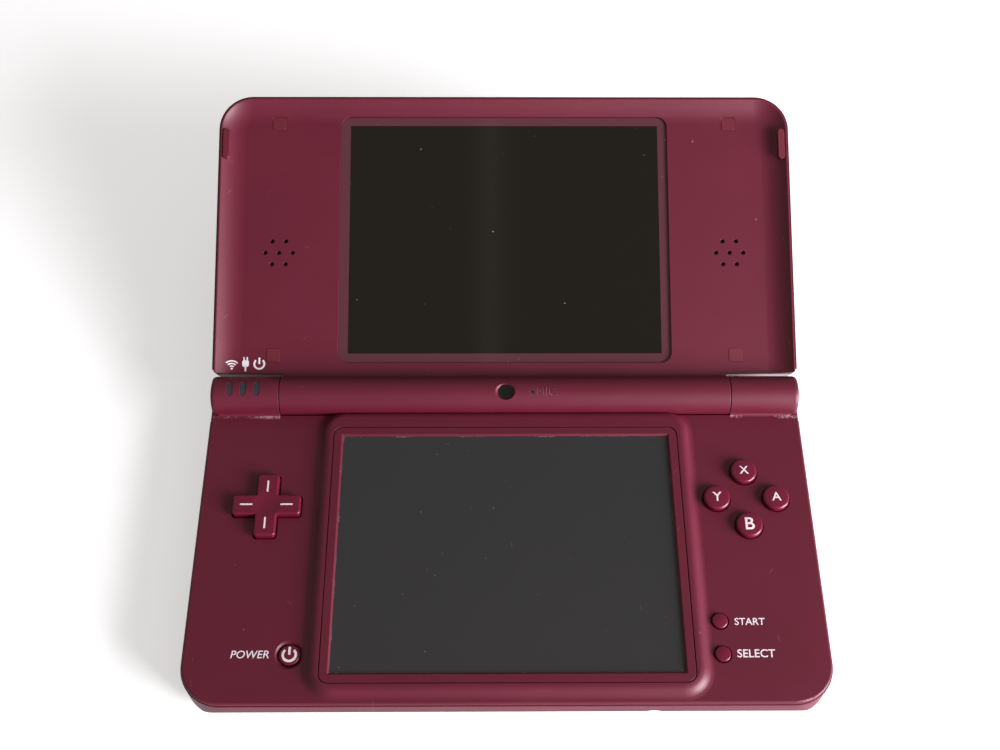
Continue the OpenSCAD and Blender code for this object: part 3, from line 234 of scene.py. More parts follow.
def dust_group() -> bpy.types.NodeTree:
    """Sparse uneven specks of dust and lint: output Mask."""
    tree, given, out = new_group(
        "dust", {"Cells": 400.0, "Size": 0.12, "Share": 0.1}, {"Mask": "NodeSocketFloat"})
    place = tree.add("TexCoord").outputs["Object"]
    bend = tree.add("TexNoise", in_2=3800.0, in_3=1.0)
    tree.feed(bend.inputs[0], place)
    shift = tree.add(
        "VectorMath", operation="MULTIPLY_ADD", in_0=bend.outputs[1], in_1=(0.0006,) * 3, in_2=place)
    cells = tree.add("TexVoronoi", in_2=given["Cells"])
    tree.feed(cells.inputs[0], shift.outputs[0])
    pick = tree.add("SeparateColor")
    tree.feed(pick.inputs[0], cells.outputs["Color"])
    chosen = tree.math("LESS_THAN", pick.outputs[0], given["Share"])
    spread = tree.fit(tree.math("POWER", pick.outputs[1], 3.0), 1.0, 0.3)
    near = tree.math("LESS_THAN", cells.outputs["Distance"], tree.math("MULTIPLY", given["Size"], spread))
    tree.feed(out["Mask"], tree.both(chosen, near, tree.fit(pick.outputs[2], 0.7, 0.3)))
    return tree.tree


def hairline_group() -> bpy.types.NodeTree:
    """A few short scratches in changing directions: output Mask."""
    tree, given, out = new_group("hairlines", {"Cells": 60.0, "Share": 0.3}, {"Mask": "NodeSocketFloat"})
    place = tree.add("TexCoord").outputs["Object"]
    cells = tree.add("TexVoronoi", in_2=given["Cells"])
    tree.feed(cells.inputs[0], place)
    pick = tree.add("SeparateColor")
    tree.feed(pick.inputs[0], cells.outputs["Color"])
    local = tree.add("VectorMath", operation="SUBTRACT", in_0=place)
    tree.feed(local.inputs[1], cells.outputs["Position"])
    turned = tree.add("VectorRotate", rotation_type="Z_AXIS")
    tree.feed(turned.inputs["Vector"], local.outputs[0])
    tree.feed(turned.inputs["Angle"], tree.math("MULTIPLY", pick.outputs[1], math.tau))
    xyz = tree.add("SeparateXYZ")
    tree.feed(xyz.inputs[0], turned.outputs[0])
    half_width, half_length = 0.000035, 0.0008
    thin = tree.math("LESS_THAN", tree.math("ABSOLUTE", xyz.outputs[0]), half_width)
    short = tree.math("LESS_THAN", tree.math("ABSOLUTE", xyz.outputs[1]), half_length)
    chosen = tree.math("LESS_THAN", pick.outputs[0], given["Share"])
    tree.feed(out["Mask"], tree.both(thin, short, chosen))
    return tree.tree


def crumb_group() -> bpy.types.NodeTree:
    """Fine dust gathered in a corner, thick where Near is 1 and none where it is 0: output Mask."""
    tree, given, out = new_group("crumbs", {"Near": 0.0, "Scale": 1800.0}, {"Mask": "NodeSocketFloat"})
    place = tree.add("TexCoord").outputs["Object"]
    fine = tree.add("TexNoise", in_2=given["Scale"], in_3=3.0, in_4=0.7)
    tree.feed(fine.inputs[0], place)
    slow = tree.add("TexNoise", in_2=160.0, in_3=2.0)
    tree.feed(slow.inputs[0], place)
    heap = tree.both(fine.outputs[0], slow.outputs[0], given["Near"])
    tree.feed(out["Mask"], tree.ramp(heap, 0.24, 0.34))
    return tree.tree


GROUPS: dict[str, bpy.types.NodeTree] = {}


def shared(tree: Tree, name: str, **inputs: float) -> bpy.types.Node:
    """Places a shared node group in a material.

    Args:
        tree: The material's tree.
        name: Which group: edges, grain, dust, hairlines or crumbs.
        **inputs: The group's own inputs.

    Returns:
        The group node.
    """
    makers: dict[str, Callable[[], bpy.types.NodeTree]] = {
        "edges": edge_group, "grain": grain_group, "dust": dust_group, "hairlines": hairline_group,
        "crumbs": crumb_group}
    if name not in GROUPS:
        GROUPS[name] = makers[name]()
    node = tree.tree.nodes.new("ShaderNodeGroup")
    node.node_tree = GROUPS[name]
    for key, value in inputs.items():
        node.inputs[key].default_value = value
    return node


# ---------- finishes ----------


def linear(red: int, green: int, blue: int) -> tuple[float, float, float, float]:
    """A screen colour, 0 to 255, as linear red, green, blue and 1."""
    values = [c / 255 for c in (red, green, blue)]
    return tuple(c / 12.92 if c <= 0.04045 else ((c + 0.055) / 1.055) ** 2.4 for c in values) + (1.0,)


def blank_material(name: str) -> tuple[bpy.types.Material, Tree, bpy.types.Node]:
    """A new material with its tree and its Principled BSDF."""
    made = bpy.data.materials.new(name)
    made.use_nodes = True
    made.node_tree.nodes.clear()
    tree = Tree(made.node_tree)
    shader = tree.add("BsdfPrincipled")
    leave = tree.add("OutputMaterial")
    tree.feed(leave.inputs[0], shader.outputs[0])
    return made, tree, shader


@dataclass(frozen=True)
class Plastic:
    """Moulded plastic with fine grain, soft edges, a little wear and dust.

    Attributes:
        colour: Screen colour, 0 to 255.
        rough: Roughness.
        grain: Height of the grain in metres.
        wear: How much brighter the worn edges are, 0 to 1.
        dust: Share of cells that hold a speck.
        edge: Radius of the soft edges in metres.
        coat: Weight of a clear coat.
        specular: Specular level.
        corner_dust: True where dust gathers in the corner between the deck and the hinge knuckles.
    """

    name: str
    colour: tuple[int, int, int]
    rough: float = 0.5
    grain: float = 0.000012
    wear: float = 0.12
    dust: float = 0.02
    edge: float = 0.0002
    coat: float = 0.0
    specular: float = 0.5
    corner_dust: bool = False

    def dusted(self, tree: Tree, colour: bpy.types.NodeSocket) -> bpy.types.NodeSocket:
        """Lays specks, hairlines and corner dust over a colour.

        Args:
            tree: The material's tree.
            colour: The colour that is dusted.

        Returns:
            The dusted colour.
        """
        dust = shared(tree, "dust", Cells=520.0, Size=0.1, Share=self.dust)
        lines = shared(tree, "hairlines", Cells=90.0, Share=self.dust * 4)
        marks = tree.math("MAXIMUM", tree.math("MULTIPLY", dust.outputs[0], 0.6),
                          tree.math("MULTIPLY", lines.outputs[0], 0.22))
        if self.corner_dust:
            spot = tree.spot_on(Side.BASE)
            along = tree.ramp(tree.math("ABSOLUTE", spot[0]), *CORNER_X)
            across = tree.ramp(tree.math("ABSOLUTE", tree.math("SUBTRACT", spot[1], CORNER_Y)), *CORNER_REACH)
            above = tree.math("GREATER_THAN", spot[2], CORNER_Z)
            crumbs = shared(tree, "crumbs")
            tree.feed(crumbs.inputs["Near"], tree.both(along, across, above))
            marks = tree.math("MAXIMUM", marks, tree.math("MULTIPLY", crumbs.outputs[0], 0.45))
        return tree.mix(marks, colour, linear(206, 158, 170))

    def material(self) -> bpy.types.Material:
        """Builds the material."""
        made, tree, shader = blank_material(self.name)
        base = linear(*self.colour)
        bright = tuple(min(1.0, c * 1.9 + 0.02) for c in base[:3]) + (1.0,)
        deep = tuple(c * 0.9 for c in base[:3]) + (1.0,)
        edges = shared(tree, "edges", Radius=self.edge)
        grain = shared(tree, "grain", Scale=4200.0)
        tone = tree.mix(tree.ramp(grain.outputs["Cloud"], 0.3, 0.7), deep, base)
        worn = tree.mix(tree.math("MULTIPLY", edges.outputs["Wear"], self.wear), tone, bright)
        tree.feed(shader.inputs["Base Color"], self.dusted(tree, worn) if self.dust else worn)
        tree.feed(shader.inputs["Roughness"], tree.fit(grain.outputs["Cloud"], 0.08, self.rough - 0.04))
        bump = tree.add("Bump", in_0=1.0, in_1=self.grain)
        tree.feed(bump.inputs["Height"], grain.outputs["Height"])
        tree.feed(bump.inputs["Normal"], edges.outputs["Normal"])
        tree.feed(shader.inputs["Normal"], bump.outputs[0])
        shader.inputs["Specular IOR Level"].default_value = self.specular
        shader.inputs["Coat Weight"].default_value = self.coat
        shader.inputs["Coat Roughness"].default_value = 0.12
        return made


@dataclass(frozen=True)
class ScreenGlass:
    """Dark screen surface with dust, lint and hairlines.

    Attributes:
        colour: Screen colour of the dark under the surface, 0 to 255.
        rough: Roughness of the surface.
        dust: Share of cells that hold a speck.
        film: True for the scratched film of a touch screen, with dust along its edges.
        border: Screen colour printed round the upper picture, or nothing.
    """

    name: str
    colour: tuple[int, int, int]
    rough: float
    dust: float
    film: bool = False
    border: tuple[int, int, int] | None = None

    def material(self) -> bpy.types.Material:
        """Builds the material."""
        made, tree, shader = blank_material(self.name)
        lines = shared(tree, "hairlines", Cells=60.0, Share=0.16 if self.film else 0.04)
        marks = tree.math("MULTIPLY", lines.outputs[0], 0.16)
        if self.dust:
            for cells, size in ((300.0, 0.07), (1000.0, 0.12)):
                speck = shared(tree, "dust", Cells=cells, Size=size, Share=self.dust)
                marks = tree.math("MAXIMUM", marks, speck.outputs[0])
        if self.film:
            edge = tree.outside(tree.spot_on(Side.BASE), LOWER_SCREEN, SCREEN_HALF)
            crumbs = shared(tree, "crumbs", Scale=2600.0)
            tree.feed(crumbs.inputs["Near"], tree.ramp(edge, -0.8, 0.1))
            marks = tree.math("MAXIMUM", marks, tree.math("MULTIPLY", crumbs.outputs[0], 0.38))
        dark = linear(*self.colour)
        if self.border:
            edge = tree.outside(tree.spot_on(Side.LID), UPPER_SCREEN, SCREEN_HALF)
            dark = tree.mix(tree.math("GREATER_THAN", edge, 0.0), dark, linear(*self.border))
        tree.feed(shader.inputs["Base Color"], tree.mix(marks, dark, linear(186, 178, 172)))
        rough = tree.add("MapRange", in_0=marks, in_1=0.0, in_2=1.0, in_3=self.rough, in_4=self.rough + 0.3)
        tree.feed(shader.inputs["Roughness"], rough.outputs[0])
        grain = shared(tree, "grain", Scale=5200.0)
        bump = tree.add("Bump", in_0=1.0, in_1=0.000004 if self.film else 0.0000002)
        tree.feed(bump.inputs["Height"], grain.outputs["Height"])
        tree.feed(shader.inputs["Normal"], bump.outputs[0])
        return made


@dataclass(frozen=True)
class Metal:
    """Sheet metal, turned steel or brass with fine brushing and soft edges."""

    name: str
    colour: tuple[int, int, int]
    rough: float = 0.3

    def material(self) -> bpy.types.Material:
        """Builds the material."""
        made, tree, shader = blank_material(self.name)
        edges = shared(tree, "edges", Radius=0.0001)
        brush = tree.add("TexNoise", in_2=1.0, in_3=2.0)
        scale = tree.add("Mapping")
        tree.feed(scale.inputs[0], tree.add("TexCoord").outputs["Object"])
        scale.inputs["Scale"].default_value = (300.0, 9000.0, 9000.0)
        tree.feed(brush.inputs[0], scale.outputs[0])
        base = linear(*self.colour)
        dark = tuple(c * 0.75 for c in base[:3]) + (1.0,)
        tree.feed(shader.inputs["Base Color"], tree.mix(brush.outputs[0], dark, base))
        rough = tree.add("MapRange", in_0=brush.outputs[0], in_3=self.rough - 0.08, in_4=self.rough + 0.12)
        tree.feed(shader.inputs["Roughness"], rough.outputs[0])
        shader.inputs["Metallic"].default_value = 1.0
        tree.feed(shader.inputs["Normal"], edges.outputs["Normal"])
        return made


@dataclass(frozen=True)
class Print:
    """Printed marks: matt ink, slightly uneven; the same flat ink also paints the shade and the highlight of
    sunk letters.
    """

    name: str
    colour: tuple[int, int, int]

    def material(self) -> bpy.types.Material:
        """Builds the material."""
        made, tree, shader = blank_material(self.name)
        grain = shared(tree, "grain", Scale=6500.0)
        base = linear(*self.colour)
        thin = tuple(c * 0.8 for c in base[:3]) + (1.0,)
        tree.feed(shader.inputs["Base Color"], tree.mix(tree.ramp(grain.outputs[0], 0.3, 0.6), thin, base))
        shader.inputs["Roughness"].default_value = 0.55
        return made


FINISHES = {
    "wine_matte": Plastic("wine_matte", (93, 14, 38), rough=0.48, dust=0.03, corner_dust=True),
    "wine_gloss": Plastic("wine_gloss", (88, 14, 35), rough=0.22, dust=0.02, grain=0.000002, coat=0.6),
    "wine_button": Plastic("wine_button", (103, 16, 44), rough=0.3, dust=0.02, grain=0.000003, edge=0.00015),
    "touch_film": ScreenGlass("touch_film", (47, 47, 48), rough=0.24, dust=0.05, film=True),
    "screen_window": ScreenGlass("screen_window", (15, 12, 8), rough=0.07, dust=0.03, border=(82, 42, 50)),
    "screen_module": Plastic("screen_module", (32, 32, 34), rough=0.4, dust=0.0),
    "sheet_steel": Metal("sheet_steel", (178, 180, 184)),
    "circuit_board": Plastic("circuit_board", (36, 92, 60), rough=0.4, dust=0.0),
    "battery_wrap": Plastic("battery_wrap", (44, 44, 47), rough=0.5, dust=0.0),
    "contact_brass": Metal("contact_brass", (196, 160, 104), rough=0.25),
    "dark_rubber": Plastic("dark_rubber", (96, 18, 36), rough=0.55, dust=0.02, grain=0.00001),
    "contact_rubber": Plastic("contact_rubber", (128, 124, 132), rough=0.7, dust=0.0),
    "black_plastic": Plastic("black_plastic", (22, 20, 20), rough=0.5, dust=0.02),
    "lens_black": ScreenGlass("lens_black", (9, 9, 11), rough=0.04, dust=0.0),
    "light_pipe": Plastic("light_pipe", (44, 42, 54), rough=0.2, dust=0.0, grain=0.000001, coat=0.5),
    "pale_pipe": Plastic("pale_pipe", (222, 212, 198), rough=0.2, dust=0.0, grain=0.000001, coat=0.5),
    "flex_film": Plastic("flex_film", (190, 120, 48), rough=0.25, dust=0.0, grain=0.000002, coat=0.4),
}
WHITE_INK = Print("white_print", (236, 226, 232))
# Dark ink for the sunk MIC. letters: its colour is painted shade inside the engraved strokes.
PAINTED_SHADE_INK = Print("sunk_mark", (58, 10, 22))
# Pink ink for a copy of the MIC. letters set slightly left and under them: a painted highlight on the lit walls
# of the engraving.
PAINTED_HIGHLIGHT_INK = Print("lit_edge", (150, 74, 94))


@dataclass
class Skins:
    """Puts each record finish on its CAD nodes."""

    made: dict[str, bpy.types.Material] = field(default_factory=dict)

    def of(self, slot: str) -> bpy.types.Material:
        """The material of one of the record's slots."""
        if slot not in self.made:
            self.made[slot] = FINISHES[slot].material()
        return self.made[slot]

    def dress(self) -> None:
        """Dresses every CAD node by its slot in the record."""
        for part in frame["record"]["subparts"]:
            node = frame["nodes"][part["node"]]
            skin = self.of(part["material_slot"])
            for place in node.material_slots:
                place.material = skin
            LOG.info("%s in %s", node.name, skin.name)


# ---------- meshes ----------


def settle(name: str, bm: bmesh.types.BMesh, axes: Matrix, skin: bpy.types.Material,
           body: str) -> bpy.types.Object:
    """Turns a bmesh into a finished piece that rides on a body.

    Args:
        name: The piece's name.
        bm: Its mesh, in millimetres in the given axes; freed here.
        axes: From those axes to the frame.
        skin: Its material.
        body: The CAD body it rides on.

    Returns:
        The new object.
    """
    bmesh.ops.transform(bm, matrix=axes, verts=bm.verts)
    bmesh.ops.recalc_face_normals(bm, faces=bm.faces)
    mesh = bpy.data.meshes.new(name)
    bm.to_mesh(mesh)
    bm.free()
    mesh.materials.append(skin)
    mesh.shade_smooth()
    mesh.set_sharp_from_angle(angle=SMOOTH_BELOW)
    piece = bpy.data.objects.new(name, mesh)
    bpy.context.scene.collection.objects.link(piece)
    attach(piece, body)
    LOG.info("%s on %s", name, body)
    return piece


def surface_of(node: str, axes: Matrix) -> BVHTree:
    """A CAD node's surface in the given axes, for laying marks on it."""
    mesh = frame["nodes"][node].data
    back = axes.inverted()
    points = [back @ v.co for v in mesh.vertices]
    return BVHTree.FromPolygons(points, [tuple(p.vertices) for p in mesh.polygons])


def lay_on(bm: bmesh.types.BMesh, surface: BVHTree, lift: float) -> None:
    """Lays a thin flat shape on a surface below it: its top stands proud by lift, its underside sinks in."""
    down = Vector((0.0, 0.0, -1.0))
    for v in bm.verts:
        hit = surface.ray_cast(Vector((v.co.x, v.co.y, LAID_FROM)), down)[0]
        top = v.co.z > 0
        v.co.z = (hit.z if hit else 0.0) + (lift if top else -MARK_SINK)


def letters(words: str, width: float, slant: float, weight: float) -> bmesh.types.BMesh:
    """Letters as flat faces, centred, at the underside of what is drawn.

    Args:
        words: The words.
        width: Overall width in millimetres.
        slant: Shear of the letters.
        weight: Extra stroke, as a share of the letters' size.

    Returns:
        The mesh.
    """
    curve = bpy.data.curves.new(words, "FONT")
    curve.body, curve.shear, curve.offset, curve.resolution_u = words, slant, weight, 5
    holder = bpy.data.objects.new(words, curve)
    bpy.context.scene.collection.objects.link(holder)
    flat = holder.evaluated_get(bpy.context.evaluated_depsgraph_get()).to_mesh()
    bm = bmesh.new()
    bm.from_mesh(flat)
    bpy.data.objects.remove(holder)
    bmesh.ops.remove_doubles(bm, verts=bm.verts, dist=WELD)
    low = Vector((min(v.co.x for v in bm.verts), min(v.co.y for v in bm.verts), 0))
    high = Vector((max(v.co.x for v in bm.verts), max(v.co.y for v in bm.verts), 0))
    scale = width / (high.x - low.x)
    bmesh.ops.translate(bm, vec=-(low + high) / 2, verts=bm.verts)
    bmesh.ops.scale(bm, vec=(scale, scale, 1.0), verts=bm.verts)
    bmesh.ops.translate(bm, vec=(0, 0, -HALF_DRAWN), verts=bm.verts)
    return bm


def refine(bm: bmesh.types.BMesh) -> None:
    """Cuts flat faces along a grid of lines, so that they can follow a curved surface."""
    for axis in (0, 1):
        low, high = (pick(v.co[axis] for v in bm.verts) for pick in (min, max))
        aim = Vector((1 - axis, axis, 0))
        for i in range(1, math.ceil((high - low) / MARK_GRID)):
            geom = [*bm.verts, *bm.edges, *bm.faces]
            cut = aim * (low + i * MARK_GRID)
            bmesh.ops.bisect_plane(bm, geom=geom, dist=WELD / 10, plane_co=cut, plane_no=aim)
    bmesh.ops.triangulate(bm, faces=bm.faces)


def thicken(bm: bmesh.types.BMesh) -> None:
    """Draws flat faces up as closed solids, as far above nought as they lie below it."""
    drawn = bmesh.ops.extrude_face_region(bm, geom=list(bm.faces), use_keep_orig=True)
    tops = [g for g in drawn["geom"] if isinstance(g, bmesh.types.BMVert)]
    bmesh.ops.translate(bm, vec=(0, 0, 2 * HALF_DRAWN), verts=tops)


def arc_band(bm: bmesh.types.BMesh, centre: tuple[float, float], inner: float, outer: float,
             start: float, turn: float, steps: int = 24) -> None:
    """Adds a flat band along an arc.

    Args:
        bm: The mesh it goes into.
        centre: Its centre.
        inner: Inner radius.
        outer: Outer radius.
        start: Angle of its start in degrees, from +X.
        turn: Angle it turns through in degrees.
        steps: Its number of faces.
    """
    aim = Vector((math.cos(math.radians(start)), math.sin(math.radians(start)), 0))
    middle = Vector((centre[0], centre[1], -HALF_DRAWN))
    ends = [bm.verts.new(middle + aim * r) for r in (inner, outer)]
    edge = bm.edges.new(ends)
    bmesh.ops.spin(bm, geom=[*ends, edge], cent=middle, axis=(0, 0, 1), angle=math.radians(turn),
                   steps=steps, use_merge=turn >= 360)


def bar(bm: bmesh.types.BMesh, x: float, y: float, width: float, height: float, corner: float = 0.0) -> None:
    """Adds a flat bar.

    Args:
        bm: The mesh it goes into.
        x: Its centre.
        y: Its centre.
        width: Its width.
        height: Its height.
        corner: Radius of its corners, or nought.
    """
    place = Matrix.Translation((x, y, -HALF_DRAWN)) @ Matrix.Diagonal((width, height, 1.0, 1.0))
    made = bmesh.ops.create_grid(bm, x_segments=1, y_segments=1, size=0.5, matrix=place)
    if corner:
        bmesh.ops.bevel(
            bm, geom=made["verts"], offset=corner, affect="VERTICES", segments=4, profile=0.5, material=-1)


# ---------- marks ----------


@dataclass
class Mark:
    """A printed mark on one surface, or sunk letters drawn flat with a painted shade and a painted highlight.

    Attributes:
        name: The piece's name.
        side: The housing in whose axes it lies.
        node: The CAD node it lies on.
        body: The CAD body it rides on.
        x: Its centre, in millimetres.
        y: Its centre, away from the hinge on the lid, negative towards the front on the base.
        ink: Its finish: print, or the painted shade or painted highlight of sunk letters.
        lift: How far it stands proud, in millimetres.
    """

    name: str
    side: Side
    node: str
    body: str
    x: float
    y: float
    ink: Print = WHITE_INK
    lift: float = 0.015

    def draw(self) -> bmesh.types.BMesh:
        """The mark's flat shape about the origin; each kind of mark draws its own."""
        raise NotImplementedError

    def place(self, skins: Skins) -> bpy.types.Object:
        """Lays the mark on its surface."""
        if self.ink.name not in skins.made:
            skins.made[self.ink.name] = self.ink.material()
        bm = self.draw()
        refine(bm)
        thicken(bm)
        bmesh.ops.translate(bm, vec=(self.x, self.y, 0), verts=bm.verts)
        axes = axes_of(self.side)
        lay_on(bm, surface_of(self.node, axes), self.lift)
        return settle(self.name, bm, axes, skins.made[self.ink.name], self.body)


@dataclass
class Words(Mark):
    """A word or a letter."""

    text: str = ""
    width: float = 5.0
    slant: float = 0.0
    weight: float = 0.02

    def draw(self) -> bmesh.types.BMesh:
        """The letters."""
        return letters(self.text, self.width, self.slant, self.weight)


@dataclass
class PowerSign(Mark):
    """A ring open at its top with a bar in the gap."""

    radius: float = 1.2
    stroke: float = 0.36
    half_gap: float = 42.0
    bar_middle: float = 0.62
    bar_length: float = 1.3

    def draw(self) -> bmesh.types.BMesh:
        """The ring and the bar."""
        bm = bmesh.new()
        inner, outer = self.radius - self.stroke / 2, self.radius + self.stroke / 2
        arc_band(bm, (0, 0), inner, outer, 90 + self.half_gap, 360 - 2 * self.half_gap)
        bar(bm, 0, self.radius * self.bar_middle, self.stroke, self.radius * self.bar_length, self.stroke * 0.3)
        return bm


@dataclass
class WirelessSign(Mark):
    """Three arcs above a dot."""

    radius: float = 2.0
    half_stroke: float = 0.17
    dot: tuple[float, float] = (0.02, 0.3)

    def draw(self) -> bmesh.types.BMesh:
        """The arcs and the dot."""
        bm = bmesh.new()
        foot = (0, -self.radius * 0.55)
        for share in (1 / 3, 2 / 3, 1):
            r = self.radius * share
            arc_band(bm, foot, r - self.half_stroke, r + self.half_stroke, 45, 90, 12)
        arc_band(bm, foot, *self.dot, 0, 360, 12)
        return bm


@dataclass
class PlugSign(Mark):
    """A small plug with two pins and its lead."""

    size: float = 1.0

    def draw(self) -> bmesh.types.BMesh:
        """The plug."""
        bm = bmesh.new()
        k = self.size
        bar(bm, 0, 0.1 * k, 1.5 * k, 1.5 * k, 0.42 * k)
        for side in (-1, 1):
            bar(bm, side * 0.36 * k, 1.15 * k, 0.28 * k, 0.8 * k)
        bar(bm, 0, -1.1 * k, 0.38 * k, 1.1 * k)
        return bm


@dataclass
class Dashes(Mark):
    """One dash along each arm of the D-pad."""

    out: float = 5.25
    length: float = 3.25
    stroke: float = 0.45
    corner: float = 0.08

    def draw(self) -> bmesh.types.BMesh:
        """The four dashes."""
        bm = bmesh.new()
        for side in (-1, 1):
            bar(bm, side * self.out, 0, self.length, self.stroke, self.corner)
            bar(bm, 0, side * self.out, self.stroke, self.length, self.corner)
        return bm


@dataclass
class Marks:
    """All marks of use on the console: what each key does, and the signs of the lamps.

    Attributes:
        pad: Centre of the four round buttons, in millimetres from the hinge axis.
        step: From there to the centre of each button.
    """

    pad: tuple[float, float] = (63.3, -31.0)
    step: float = 7.8

    def build(self, skins: Skins) -> None:
        """Lays every mark."""
        base, lid = Side.BASE, Side.LID
        deck, shell = ("deck_shell", "base"), ("lid_inner_shell", "lid")
        marks: list[Mark] = [
            Words("mark_power", base, *deck, -63.5, -73.2, text="POWER", width=9.5, slant=0.14, weight=0.006),
            Words("mark_start", base, *deck, 60.8, -65.0, text="START", width=7.6, slant=0.03, weight=0.01),
            Words("mark_select", base, *deck, 61.6, -73.3, text="SELECT", width=9.4, slant=0.03, weight=0.01),
            # MIC.: dark letters are painted shade in the engraving, and a pink copy just left of and under them
            # is a painted highlight on its lit walls.
            Words("mark_mic", lid, *shell, 11.7, 0.55, ink=PAINTED_SHADE_INK, lift=0.03, text="MIC.", width=5.8,
                  weight=0.0),
            Words("mark_mic_painted_highlight", lid, *shell, 11.55, 0.5, ink=PAINTED_HIGHLIGHT_INK, lift=0.018, text="MIC.", width=5.8,
                  weight=0.0),
            PowerSign("sign_power_button", base, "power_button", "power_button", -53.8, -73.3, radius=1.6,
                      stroke=0.62, lift=0.02),
            PowerSign("sign_power_lamp", lid, *shell, -67.9, 9.15, radius=1.38, stroke=0.5),
            PlugSign("sign_charge_lamp", lid, *shell, -71.7, 9.15, size=1.25),
            WirelessSign("sign_wireless_lamp", lid, *shell, -75.4, 9.0, radius=2.15),
            Dashes("dpad_dashes", base, "dpad", "dpad", -62.6, -33.1),
        ]
        spots = {"a": (1, 0), "b": (0, -1), "x": (0, 1), "y": (-1, 0)}
        for key, (dx, dy) in spots.items():
            x, y = self.pad[0] + dx * self.step, self.pad[1] + dy * self.step
            marks.append(Words(f"mark_{key}", base, f"button_{key}", f"button_{key}", x, y, lift=0.02,
                               text=key.upper(), width=2.4, weight=0.012))
        for mark in marks:
            mark.place(skins)


# ---------- surroundings ----------


@dataclass
class PhotoCamera:
    """The camera where the photograph was taken from.

    Attributes:
        focal_px: Focal length in pixels of a 1000-pixel-wide picture.
        eye: Its place in millimetres from the hinge axis.
        pitch: Looking down, in degrees.
        yaw: Looking to the right, in degrees.
        roll: Turned about its view, in degrees.
        picture_px: Width of the picture that the focal length is given for.
        sensor: Width of the sensor in millimetres.
        clip: Nearest and farthest distance seen, in metres.
    """

    focal_px: float = 1336.6
    eye: tuple[float, float, float] = (-4.83, -186.09, 329.75)
    pitch: float = 58.659
    yaw: float = 1.030
    roll: float = 0.817
    picture_px: float = 1000.0
    sensor: float = 36.0
    clip: tuple[float, float] = (0.01, 20.0)

    def build(self) -> bpy.types.Object:
        """Makes the camera and gives it to the scene."""
        p, w, r = (math.radians(a) for a in (self.pitch, self.yaw, self.roll))
        ahead = Vector((math.sin(w) * math.cos(p), math.cos(w) * math.cos(p), -math.sin(p)))
        level = Vector((math.cos(w), -math.sin(w), 0))
        lift = level.cross(ahead)
        right = level * math.cos(r) + lift * math.sin(r)
        up = lift * math.cos(r) - level * math.sin(r)
        data = bpy.data.cameras.new("photo_camera")
        data.sensor_width = self.sensor
        data.lens = self.focal_px / self.picture_px * self.sensor
        data.clip_start, data.clip_end = self.clip
        camera = bpy.data.objects.new("photo_camera", data)
        bpy.context.scene.collection.objects.link(camera)
        turn = Matrix((right, up, -ahead)).transposed().to_4x4()
        camera.matrix_world = Matrix.Translation(base_axes() @ Vector(self.eye)) @ turn
        bpy.context.scene.camera = camera
        return camera


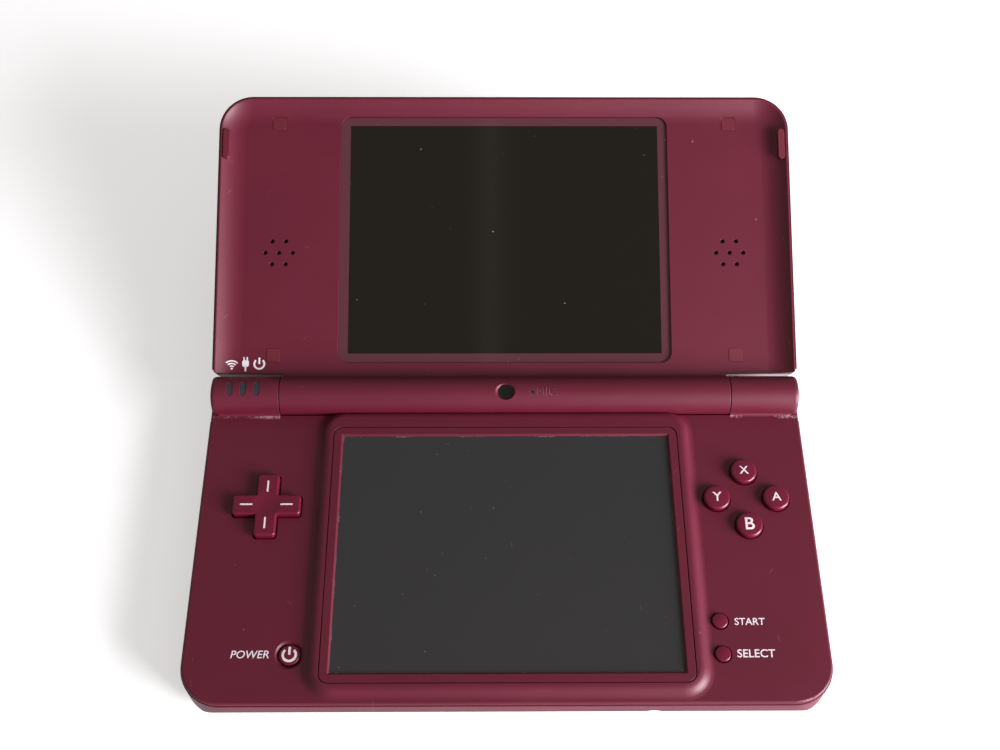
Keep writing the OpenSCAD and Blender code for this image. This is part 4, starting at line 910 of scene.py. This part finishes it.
@dataclass
class Studio:
    """A white floor under one soft window of light, low on the right and a little in front.

    Attributes:
        floor_size: Width of the floor in metres.
        floor_colour: Its screen colour, 0 to 255.
        floor_glow: How far the paper is lit through from below, as the camera sees it.
        window: Azimuth in front of +X and elevation of the window in degrees, and its distance in metres.
        window_size: Its width and height in metres.
        window_watts: Its power.
        window_colour: Its colour.
        room: Brightness of the room.
        near_board: Colour of the ceiling's board above the console.
        far_board: Colour of the ceiling's board behind it.
        joint: Colour of the joint between boards, which the upper screen mirrors.
        joint_x: Where the joint runs across the view straight up, and half its width.
    """

    floor_size: float = 6.0
    floor_colour: tuple[int, int, int] = (250, 250, 250)
    floor_glow: float = 0.45
    window: tuple[float, float, float] = (30.0, 17.0, 0.95)
    window_size: tuple[float, float] = (0.6, 0.5)
    window_watts: float = 27.0
    window_colour: tuple[float, float, float] = (0.98, 0.94, 1.0)
    room: float = 0.3
    near_board: tuple[float, ...] = (1.0, 0.9, 0.76, 1.0)
    far_board: tuple[float, ...] = (0.68, 0.68, 0.7, 1.0)
    joint: tuple[float, ...] = (1.9, 1.8, 1.6, 1.0)
    joint_x: tuple[float, float] = (0.002, 0.006)

    def floor(self) -> None:
        """A plain white floor at the height of the feet."""
        bm = bmesh.new()
        bmesh.ops.create_grid(bm, x_segments=1, y_segments=1, size=self.floor_size / 2)
        mesh = bpy.data.meshes.new("floor")
        bm.to_mesh(mesh)
        bm.free()
        made, tree, shader = blank_material("floor_paper")
        shader.inputs["Base Color"].default_value = linear(*self.floor_colour)
        shader.inputs["Roughness"].default_value = 0.9
        shader.inputs["Specular IOR Level"].default_value = 0.1
        shader.inputs["Emission Color"].default_value = (1, 1, 1, 1)
        seen = tree.add("LightPath").outputs["Is Camera Ray"]
        tree.feed(shader.inputs["Emission Strength"], tree.math("MULTIPLY", seen, self.floor_glow))
        mesh.materials.append(made)
        plane = bpy.data.objects.new("floor", mesh)
        bpy.context.scene.collection.objects.link(plane)

    def light(self) -> None:
        """The window."""
        side, up = (math.radians(a) for a in self.window[:2])
        aim = Vector((math.cos(up) * math.cos(side), -math.cos(up) * math.sin(side), math.sin(up)))
        spot = aim * self.window[2]
        data = bpy.data.lights.new("window", "AREA")
        data.shape, data.size, data.size_y = "RECTANGLE", self.window_size[0], self.window_size[1]
        data.energy = self.window_watts
        data.color = self.window_colour
        lamp = bpy.data.objects.new("window", data)
        bpy.context.scene.collection.objects.link(lamp)
        lamp.location = spot
        lamp.rotation_euler = (-spot).to_track_quat("-Z", "Y").to_euler()

    def sky(self) -> None:
        """An even room; straight above, where the screens look, a ceiling of two boards with a pale joint."""
        world = bpy.data.worlds.new("studio")
        world.use_nodes = True
        bpy.context.scene.world = world
        tree = Tree(world.node_tree)
        back = world.node_tree.nodes["Background"]
        x, y, z = tree.add("SeparateXYZ", in_0=tree.add("TexCoord").outputs["Generated"]).outputs
        ceiling = tree.ramp(z, 0.7, 0.85)
        far = tree.ramp(y, 0.3, 0.5)
        boards = tree.mix(far, self.near_board, self.far_board)
        off = tree.math("ABSOLUTE", tree.math("SUBTRACT", x, self.joint_x[0]))
        seen = tree.mix(tree.math("LESS_THAN", off, self.joint_x[1]), boards, self.joint)
        tree.feed(back.inputs[0], tree.mix(ceiling, (1, 1, 1, 1), seen))
        back.inputs[1].default_value = self.room

    def build(self) -> None:
        """Floor, light and surrounding."""
        self.floor()
        self.sky()
        self.light()
        bpy.context.scene.view_settings.view_transform = "Standard"


def main() -> None:
    """Dresses the console, adds its marks, and sets the camera and the studio."""
    logging.basicConfig(level=logging.INFO, format="%(message)s")
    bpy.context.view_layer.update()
    skins = Skins()
    skins.dress()
    Marks().build(skins)
    PhotoCamera().build()
    Studio().build()


if __name__ == "__main__":
    main()
